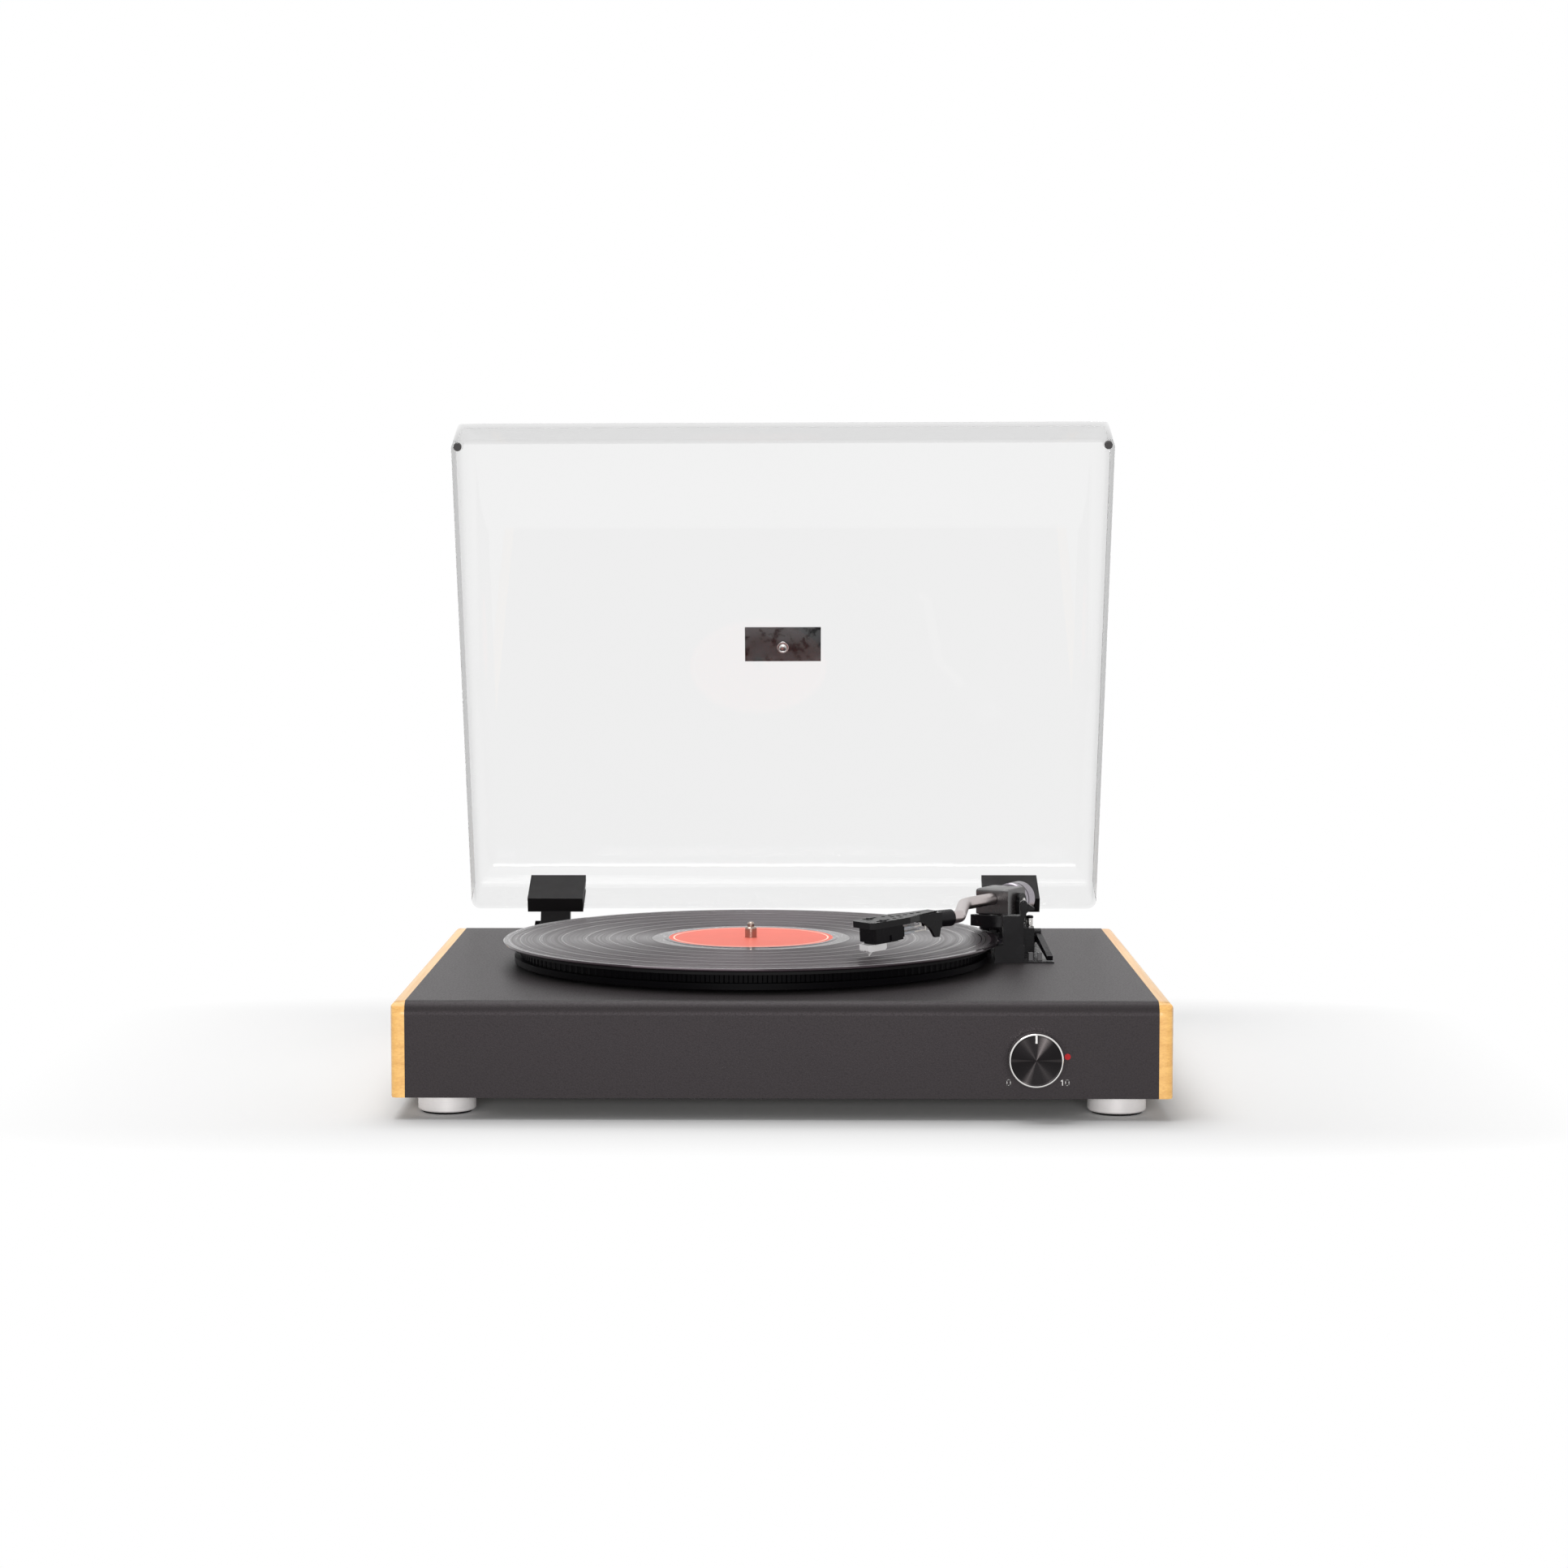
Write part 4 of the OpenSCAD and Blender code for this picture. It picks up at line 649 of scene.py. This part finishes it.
@dataclass(frozen=True)
class Leads(Finish):
    """Jackets of the four cartridge leads, told apart by where they run across the headshell."""

    across: Span
    jackets: tuple[tuple[float, Tone, float], ...] = (
        (0.0, Tone(206, 196, 192), 1.0), (0.27, Tone(160, 160, 162), 1.0),
        (0.5, Tone(188, 190, 196), 1.0), (0.75, Tone(236, 232, 226), 1.0))
    rough: float = 0.4
    depth: float = 0.00002

    def build(self) -> bpy.types.Material:
        """Colour the leads in four steps across the headshell."""
        g = self.graph()
        share = g.steps(g.vector("DOT_PRODUCT", g.place, HEAD_ACROSS), *self.across, 0.0, 1.0)
        return g.surface({"Base Color": g.ramp(share, self.jackets, "CONSTANT"), "Roughness": self.rough,
                          "Normal": g.bump(g.noise(3000.0, 2.0), self.depth)})


def dress(finish: Finish, *nodes: str) -> None:
    """Give CAD nodes a finish.

    Args:
        finish: what they are made of.
        *nodes: the nodes' names.
    """
    for node in nodes:
        for slot in frame["nodes"][node].material_slots:
            slot.material = finish.material()
        LOG.info("dressed %s in %s", node, finish.slot)


def soften(node: str, width: float, angle: float = 40.0, segments: int = 2) -> None:
    """Round a CAD node's sharp edges with modifiers, which leave its own mesh as it is.

    Args:
        node: the node's name.
        width: how far the rounding reaches, in millimetres.
        angle: edges sharper than this many degrees are rounded.
        segments: faces across the rounding.
    """
    ob = frame["nodes"][node]
    ob.modifiers.new("join", "WELD").merge_threshold = WELD_REACH
    bevel = ob.modifiers.new("edge", "BEVEL")
    bevel.width, bevel.segments = width * MM, segments
    bevel.limit_method, bevel.angle_limit = "ANGLE", math.radians(angle)
    bevel.miter_outer = "MITER_ARC"
    ob.modifiers.new("shade", "WEIGHTED_NORMAL").keep_sharp = True


def piece(name: str, make: Callable[[bmesh.types.BMesh], None], body: str, finish: Finish,
          smooth: float = 35.0) -> bpy.types.Object:
    """Add a piece of the object.

    Args:
        name: the piece's name.
        make: builds it on an empty mesh, in the row frame.
        body: the CAD body that it moves with.
        finish: what it is made of.
        smooth: edges flatter than this many degrees are shaded smooth.

    Returns:
        The new object.
    """
    bm = bmesh.new()
    make(bm)
    bmesh.ops.remove_doubles(bm, verts=bm.verts, dist=SEAM_REACH)
    bmesh.ops.recalc_face_normals(bm, faces=bm.faces)
    mesh = bpy.data.meshes.new(name)
    bm.to_mesh(mesh)
    bm.free()
    mesh.shade_smooth()
    mesh.set_sharp_from_angle(angle=math.radians(smooth))
    mesh.materials.append(finish.material())
    ob = bpy.data.objects.new(name, mesh)
    bpy.context.scene.collection.objects.link(ob)
    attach(ob, body)
    LOG.info("built %s on %s", name, body)
    return ob


def prism(bm: bmesh.types.BMesh, outline: Sequence[Vector], out: Vector) -> None:
    """Add a closed slab: an outline and its copy moved by a vector."""
    low = [bm.verts.new(p) for p in outline]
    high = [bm.verts.new(p + out) for p in outline]
    count = len(outline)
    bm.faces.new(low[::-1])
    bm.faces.new(high)
    for i in range(count):
        j = (i + 1) % count
        bm.faces.new((low[i], low[j], high[j], high[i]))


def lathe(bm: bmesh.types.BMesh, profile: Sequence[Span], at: Matrix, sides: int) -> None:
    """Add a turned form.

    Args:
        bm: the mesh to add to.
        profile: closed outline of (radius, height) in millimetres, radius above 0.
        at: places the turning axis, which is Z, in the row frame.
        sides: steps round the axis.
    """
    rings = []
    for i in range(sides):
        a = 2 * math.pi * i / sides
        rings.append([bm.verts.new(at @ mm(r * math.cos(a), r * math.sin(a), h)) for r, h in profile])
    count = len(profile)
    for i in range(sides):
        one, two = rings[i], rings[(i + 1) % sides]
        for k in range(count):
            n = (k + 1) % count
            bm.faces.new((one[k], two[k], two[n], one[n]))


WRAP = Leatherette("black_wrap", Tone(46, 43, 44))
BOARD = Laminate("board", Tone(96, 88, 80), Tone(70, 62, 55))
CIRCUIT = Laminate("circuit_board", Tone(30, 96, 56), Tone(18, 70, 42), scale=260.0, rough=0.4)
WOOD = Veneer("wood", Tone(250, 198, 116), Tone(230, 170, 92))
INNER_WOOD = Veneer("inner_wood", Tone(222, 190, 146), Tone(196, 160, 116), rough=0.6, coat=0.0)
STEEL = Metal("steel", Tone(200, 198, 196), 0.28)
BRASS = Metal("brass", Tone(214, 178, 104), 0.24)
CAN = Metal("motor_can", Tone(176, 176, 178), 0.38)
CHROME = Metal("chrome", Tone(236, 234, 232), 0.08, mark=0.000004)
SPINDLE_METAL = Metal("chrome", Tone(168, 152, 142), 0.16, mark=0.000004, look="spindle_metal")
SATIN = Metal("satin_metal", Tone(192, 183, 182), 0.30, mark=0.00001)
WEIGHT_METAL = Metal("satin_metal", Tone(150, 145, 152), 0.28, mark=0.00001, look="weight_metal")
# Painted light: the feet get a near-white, barely metallic copy of the satin metal, so they read brightly lit in
# the shade under the case.
FOOT_METAL_PAINTED_BRIGHT = Metal("satin_metal", Tone(252, 248, 247), 0.32, Brush.TURNED, metallic=0.1, mark=0.00001,
                   look="foot_metal")
BLACK_METAL = Moulded("black_metal", Tone(13, 12, 14), 0.26, shine=0.14)
HEAD_METAL = Moulded("black_metal", Tone(16, 15, 17), 0.28, shine=0.2, look="head_metal")
# The platter's copy of the black metal: the platter is black, and its darker colour also paints shade on the rim.
PLATTER_BLACK_PAINTED_SHADE = Moulded("black_metal", Tone(7, 6, 8), 0.36, shine=0.04, look="platter_black")
BLACKENED_STEEL = Moulded("steel", Tone(30, 29, 31), 0.35, look="blackened_steel")
BLACK_PLASTIC = Moulded("black_plastic", Tone(15, 13, 16), 0.26, shine=0.12)
# The pivot housing's copy of the black plastic: its strong gloss is real, and its lighter colour is a painted
# reflection on its front.
HOUSING_BLACK_PAINTED_LIGHT = Moulded("black_plastic", Tone(44, 40, 41), 0.28, shine=0.9, look="housing_black")
HINGE_BLACK = Moulded("hinge_black", Tone(22, 20, 21), 0.5, shine=0.12)
WHITE_PLASTIC = Moulded("white_plastic", Tone(254, 252, 251), 0.35)
RED_PLASTIC = Moulded("red_plastic", Tone(176, 30, 28), 0.38)
SWITCH_GREY = Moulded("switch_grey", Tone(70, 68, 70), 0.42)
PAINT = Moulded("white_paint", Tone(236, 234, 232), 0.5)
RUBBER = Moulded("rubber", Tone(24, 23, 24), 0.72, grain=2600.0, depth=0.00004, shine=0.2)
BUMPER_GREY = Moulded("rubber", Tone(64, 62, 62), 0.6, look="bumper_grey")
CLEAR = Acrylic("clear", Tone(246, 246, 246))
DARK_PLATE = Foil("dark_plate", Tone(82, 82, 83))
LAMP = Lamp("lamp", Tone(168, 12, 18))


@dataclass
class Plinth:
    """Wrapped case with its two wooden cheeks, base board and feet."""

    edge: float = 0.5
    edge_angle: float = 50.0
    edge_faces: int = 3

    def build(self) -> None:
        """Dress the case, the cheeks, the parts inside and the feet."""
        dress(WRAP, "plinth_shell", "rear_panel")
        dress(WOOD, "left_cheek", "right_cheek")
        dress(INNER_WOOD, "corner_blocks")
        dress(BOARD, "bottom_cover")
        dress(FOOT_METAL_PAINTED_BRIGHT, "feet")
        dress(RUBBER, "foot_pads")
        dress(STEEL, "foot_screws", "cover_screws")
        dress(CIRCUIT, "main_board")
        for node in ("left_cheek", "right_cheek"):
            soften(node, self.edge, self.edge_angle, self.edge_faces)


@dataclass
class Drive:
    """Motor, pulley and belt under the platter."""

    def build(self) -> None:
        """Dress the drive."""
        dress(CAN, "motor")
        dress(STEEL, "motor_screws", "motor_shaft")
        dress(RUBBER, "motor_grommets", "drive_belt")
        dress(BRASS, "motor_pulley", "bearing_bush")


@dataclass
class Turntable:
    """Spindle, platter, mat, record and label, with the label's printed ring as shares of its radius."""

    ring: Span = (0.93, 0.95)

    def build(self) -> None:
        """Dress everything that turns with the record."""
        centre = tuple(middle("record") * MM)
        low, high = box_mm("record_label")
        label = (high.x - low.x) / 2
        rim = box_mm("record")[1].x - middle("record").x
        ring = (self.ring[0] * label * MM, self.ring[1] * label * MM)
        dress(Vinyl("vinyl", Tone(24, 17, 21), centre, label * MM, rim * MM), "record")
        dress(Paper("label", Tone(226, 100, 80), centre, ring), "record_label")
        dress(SPINDLE_METAL, "spindle")
        dress(PLATTER_BLACK_PAINTED_SHADE, "platter")
        dress(RUBBER, "slip_mat")


@dataclass
class Tonearm:
    """Arm base, bearing, tube, headshell, cartridge and counterweight, and which edges are rounded by how much."""

    rounded: dict[str, float] = field(default_factory=lambda: {
        "arm_base": 0.35, "pivot_block": 0.5, "arm_yoke": 0.3, "armrest": 0.25, "arm_clip": 0.2, "cue_lever": 0.2,
        "headshell": 0.2, "cartridge": 0.25, "stylus_unit": 0.15, "counterweight": 0.3})
    lead_half: float = 6.0
    cap: Sequence[Span] = ((0.02, -0.9), (2.25, -0.9), (2.3, -0.75), (2.3, 0.2), (2.05, 0.55), (1.4, 0.75),
                           (0.02, 0.8))
    cap_sides: int = 32

    def build(self) -> None:
        """Dress the arm and what it stands on."""
        dress(BLACK_PLASTIC, "arm_base", "armrest", "arm_clip", "cue_lever", "lift_platform", "cartridge")
        dress(HOUSING_BLACK_PAINTED_LIGHT, "pivot_block")
        dress(BRASS, "base_nut")
        dress(STEEL, "lift_screw", "pivot_screws", "weight_shaft")
        dress(BLACK_METAL, "arm_yoke")
        dress(HEAD_METAL, "headshell")
        dress(BLACKENED_STEEL, "head_screws")
        dress(SATIN, "arm_tube")
        dress(WEIGHT_METAL, "counterweight")
        dress(WHITE_PLASTIC, "stylus_unit")
        dress(SWITCH_GREY, "speed_slider", "stop_slider")
        across = middle("lead_wires").dot(Vector(HEAD_ACROSS))
        span = ((across - self.lead_half) * MM, (across + self.lead_half) * MM)
        dress(Leads("wire", Tone(200, 60, 50), span), "lead_wires")
        for node, width in self.rounded.items():
            soften(node, width)
        piece("screw_cap", self.screw_cap, "base", BLACK_PLASTIC)

    def screw_cap(self, bm: bmesh.types.BMesh) -> None:
        """Turn the black cap on the height screw."""
        mid = middle("lift_screw")
        top = box_mm("lift_screw")[1].z
        lathe(bm, self.cap, Matrix.Translation(mm(mid.x, mid.y, top)), self.cap_sides)


@dataclass
class DustCover:
    """Clear lid with its bare plate, bumpers and hinges.

    The rivet sits at the plate's middle, pushed through the lid and dropped a little towards the hinges.
    """

    lean: float = 20.0
    through: float = 3.3
    rivet_drop: float = 1.1
    rivet: Sequence[Span] = ((0.02, -0.1), (3.75, -0.1), (3.75, 0.25), (3.55, 0.4), (2.75, 0.4), (2.6, 0.3),
                             (2.5, 0.55), (2.1, 0.85), (1.4, 1.05), (0.7, 1.15), (0.02, 1.18))
    rivet_sides: int = 40
    hinge_edge: float = 0.4

    def build(self) -> None:
        """Dress the cover and the hinges."""
        dress(CLEAR, "lid")
        dress(DARK_PLATE, "lid_plate")
        dress(BUMPER_GREY, "lid_bumpers")
        dress(HINGE_BLACK, "hinge_blocks")
        dress(BLACK_PLASTIC, "hinge_brackets")
        dress(STEEL, "hinge_pins", "hinge_screws")
        soften("hinge_blocks", self.hinge_edge)
        piece("plate_rivet", self.plate_rivet, "lid_body", STEEL)

    def plate_rivet(self, bm: bmesh.types.BMesh) -> None:
        """Turn a washer with a domed rivet in it, and stand it on the lid's inner face behind the plate."""
        lean = math.radians(self.lean)
        sideways = Vector((1, 0, 0))
        inward = Vector((0, -math.cos(lean), -math.sin(lean)))
        hingeward = Vector((0, math.sin(lean), -math.cos(lean)))
        foot = middle("lid_plate") + inward * self.through + hingeward * self.rivet_drop
        turn = Matrix((inward.cross(sideways), sideways, inward)).transposed().to_4x4()
        lathe(bm, self.rivet, Matrix.Translation(foot * MM) @ turn, self.rivet_sides)


@dataclass
class Controls:
    """Volume knob, lamp and the sockets at the back, and the numerals at the two ends of the knob's scale."""

    knob_edge: float = 0.4
    knob_edge_angle: float = 30.0
    knob_edge_faces: int = 3
    digit_high: float = 3.1
    digit_wide: float = 1.9
    digit_gap: float = 0.9
    squareness: float = 0.7
    flag: Span = (-0.65, -0.75)
    stem: float = 0.15
    stroke: float = 0.42
    stroke_end: float = 0.3
    relief: float = 0.06
    sunk: float = 0.02
    numerals: dict[str, float] = field(default_factory=lambda: {"0": -14.5, "10": 16.6})
    drop: float = 14.0

    def build(self) -> None:
        """Dress the controls and print the scale's two numbers."""
        dress(Spun("knob_black", Tone(26, 24, 25), tuple(middle("volume_knob") * MM)), "volume_knob")
        dress(CHROME, "knob_ring")
        dress(PAINT, "knob_marker")
        dress(STEEL, "pot_shaft")
        dress(CAN, "volume_pot")
        dress(LAMP, "power_led")
        dress(BLACK_PLASTIC, "terminal_plate", "dc_inlet")
        dress(BRASS, "line_jacks")
        dress(RED_PLASTIC, "speaker_clips")
        soften("volume_knob", self.knob_edge, self.knob_edge_angle, self.knob_edge_faces)
        piece("scale_numbers", self.scale_numbers, "base", PAINT)

    def zero(self, x: float) -> list[Span]:
        """Give a squarish oval round a place on the line, in millimetres."""
        oval = []
        for k in range(25):
            a = 2 * math.pi * k / 24
            u, w = (math.copysign(abs(v) ** self.squareness, v) for v in (math.cos(a), math.sin(a)))
            oval.append((x + u * self.digit_wide / 2, w * self.digit_high / 2))
        return oval

    def one(self, x: float) -> list[Span]:
        """Give an upright stem with a small flag at a place on the line, in millimetres."""
        high = self.digit_high / 2
        return [(x + self.flag[0], high + self.flag[1]), (x + self.stem, high), (x + self.stem, -high)]

    def strokes(self, text: str) -> list[list[Span]]:
        """Give the lines of a plain number, as runs of points in millimetres round its middle."""
        width = self.digit_wide + self.digit_gap
        places = [(i - (len(text) - 1) / 2) * width for i in range(len(text))]
        return [self.zero(x) if digit == "0" else self.one(x) for digit, x in zip(text, places)]

    def scale_numbers(self, bm: bmesh.types.BMesh) -> None:
        """Lay each number on the front as thin raised strokes."""
        mid = middle("volume_knob")
        face = box_mm("plinth_shell")[0].y + self.sunk
        for text, dx in self.numerals.items():
            for run in self.strokes(text):
                for start, end in zip(run, run[1:]):
                    a, b = Vector(start), Vector(end)
                    along = (b - a).normalized()
                    side = Vector((-along.y, along.x)) * self.stroke / 2
                    extra = along * self.stroke * self.stroke_end
                    corners = (a - extra + side, b + extra + side, b + extra - side, a - extra - side)
                    outline = [mm(mid.x + dx + p.x, face, mid.z - self.drop + p.y) for p in corners]
                    prism(bm, outline, mm(0, -self.relief - self.sunk, 0))


@dataclass(frozen=True)
class SoftBox:
    """A rectangular lamp: its name, place, aim, width and height in metres, and power in watts."""

    name: str
    at: Point
    aim: Point
    size: Span
    power: float

    def hang(self) -> None:
        """Add the lamp to the scene and face it to its aim."""
        data = bpy.data.lights.new(self.name, "AREA")
        data.shape, data.energy = "RECTANGLE", self.power
        data.size, data.size_y = self.size
        ob = bpy.data.objects.new(self.name, data)
        ob.location = self.at
        ob.rotation_mode = "QUATERNION"
        ob.rotation_quaternion = (Vector(self.aim) - Vector(self.at)).to_track_quat("-Z", "Y")
        bpy.context.scene.collection.objects.link(ob)


@dataclass
class Studio:
    """Camera, floor, surround and lamps.

    The floor keeps its shadow near the object and fades into the surround between the two distances of `fade`,
    which are measured from the object's outline and weighted along each axis.
    """

    camera_at: Point = (0.0082683, -2.0029892, 0.3216518)
    right: Point = (0.99964857, 0.02639896, -0.00241351)
    up: Point = (0.00046065, 0.07373198, 0.99727799)
    lens: float = 75.18
    sensor: float = 36.0
    shift: float = 0.04804
    far_clip: float = 100.0
    ambient: float = 0.36
    floor_tone: float = 0.92
    floor_half: float = 30.0
    fade: Span = (0.02, 0.24)
    fade_weight: Point = (1, 2.5, 1)
    lamps: tuple[SoftBox, ...] = (
        SoftBox("top_box", (-0.3, 0.2, 2.2), (0.0, 0.0, 0.0), (2.2, 1.4), 32.0),
        SoftBox("front_box", (0.0, -2.6, 0.35), (0.0, 0.0, 0.05), (1.6, 0.5), 27.0))

    def camera(self) -> None:
        """Stand the camera in front, a little above the deck."""
        data = bpy.data.cameras.new("camera")
        data.lens, data.sensor_width, data.shift_x = self.lens, self.sensor, self.shift
        data.clip_end = self.far_clip
        ob = bpy.data.objects.new("camera", data)
        right, up = Vector(self.right), Vector(self.up)
        turn = Matrix((right, up, right.cross(up))).transposed().to_4x4()
        ob.matrix_world = Matrix.Translation(Vector(self.camera_at)) @ turn
        bpy.context.scene.collection.objects.link(ob)
        bpy.context.scene.camera = ob

    def surround(self) -> None:
        """Make the surround white to the eye and plain grey as a light."""
        world = bpy.data.worlds.new("surround")
        bpy.context.scene.world = world
        g = Graph(world)
        level = g.steps(g.seen(), 0.0, 1.0, self.ambient, 1.0)
        back = g.add("ShaderNodeBackground", {"Color": WHITE, "Strength": level}).outputs[0]
        g.add("ShaderNodeOutputWorld", {"Surface": back})

    def floor(self) -> None:
        """Lay a white floor that keeps the soft shadow near the object and fades into the surround."""
        g = Graph(bpy.data.materials.new("floor"))
        low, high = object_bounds()
        outline = (float(high[0]), float(max(-low[1], high[1])), self.floor_half)
        beyond = g.vector("SUBTRACT", g.vector("ABSOLUTE", g.place), outline)
        outside = g.vector("MAXIMUM", beyond, (0, 0, 0))
        reach = g.vector("LENGTH", g.vector("MULTIPLY", outside, self.fade_weight))
        far = g.steps(reach, *self.fade, 0.0, 1.0)
        pale = (self.floor_tone, self.floor_tone, self.floor_tone, 1.0)
        lit = g.add("ShaderNodeBsdfDiffuse", {"Color": pale}).outputs[0]
        plain = g.add("ShaderNodeEmission", {"Color": WHITE, "Strength": 1.0}).outputs[0]
        mixed = g.add("ShaderNodeMixShader", {0: g.maths("MULTIPLY", far, g.seen()), 1: lit, 2: plain}).outputs[0]
        g.add("ShaderNodeOutputMaterial", {"Surface": mixed})
        half = self.floor_half
        mesh = bpy.data.meshes.new("floor")
        corners = [(-half, -half, 0), (half, -half, 0), (half, half, 0), (-half, half, 0)]
        mesh.from_pydata(corners, [], [(0, 1, 2, 3)])
        mesh.materials.append(g.owner)
        ob = bpy.data.objects.new("floor", mesh)
        bpy.context.scene.collection.objects.link(ob)
        ob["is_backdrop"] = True

    def build(self) -> None:
        """Set up the whole studio."""
        bpy.context.scene.view_settings.view_transform = "Standard"
        self.camera()
        self.surround()
        self.floor()
        for box in self.lamps:
            box.hang()


def main() -> None:
    """Build the studio and each sub-assembly."""
    logging.basicConfig(level=logging.INFO, format="%(name)s: %(message)s")
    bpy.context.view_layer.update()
    Studio().build()
    for part in (Plinth(), Drive(), Turntable(), Tonearm(), DustCover(), Controls()):
        LOG.info("building %s", type(part).__name__)
        part.build()
    bpy.context.view_layer.update()


if __name__ == "__main__":
    main()
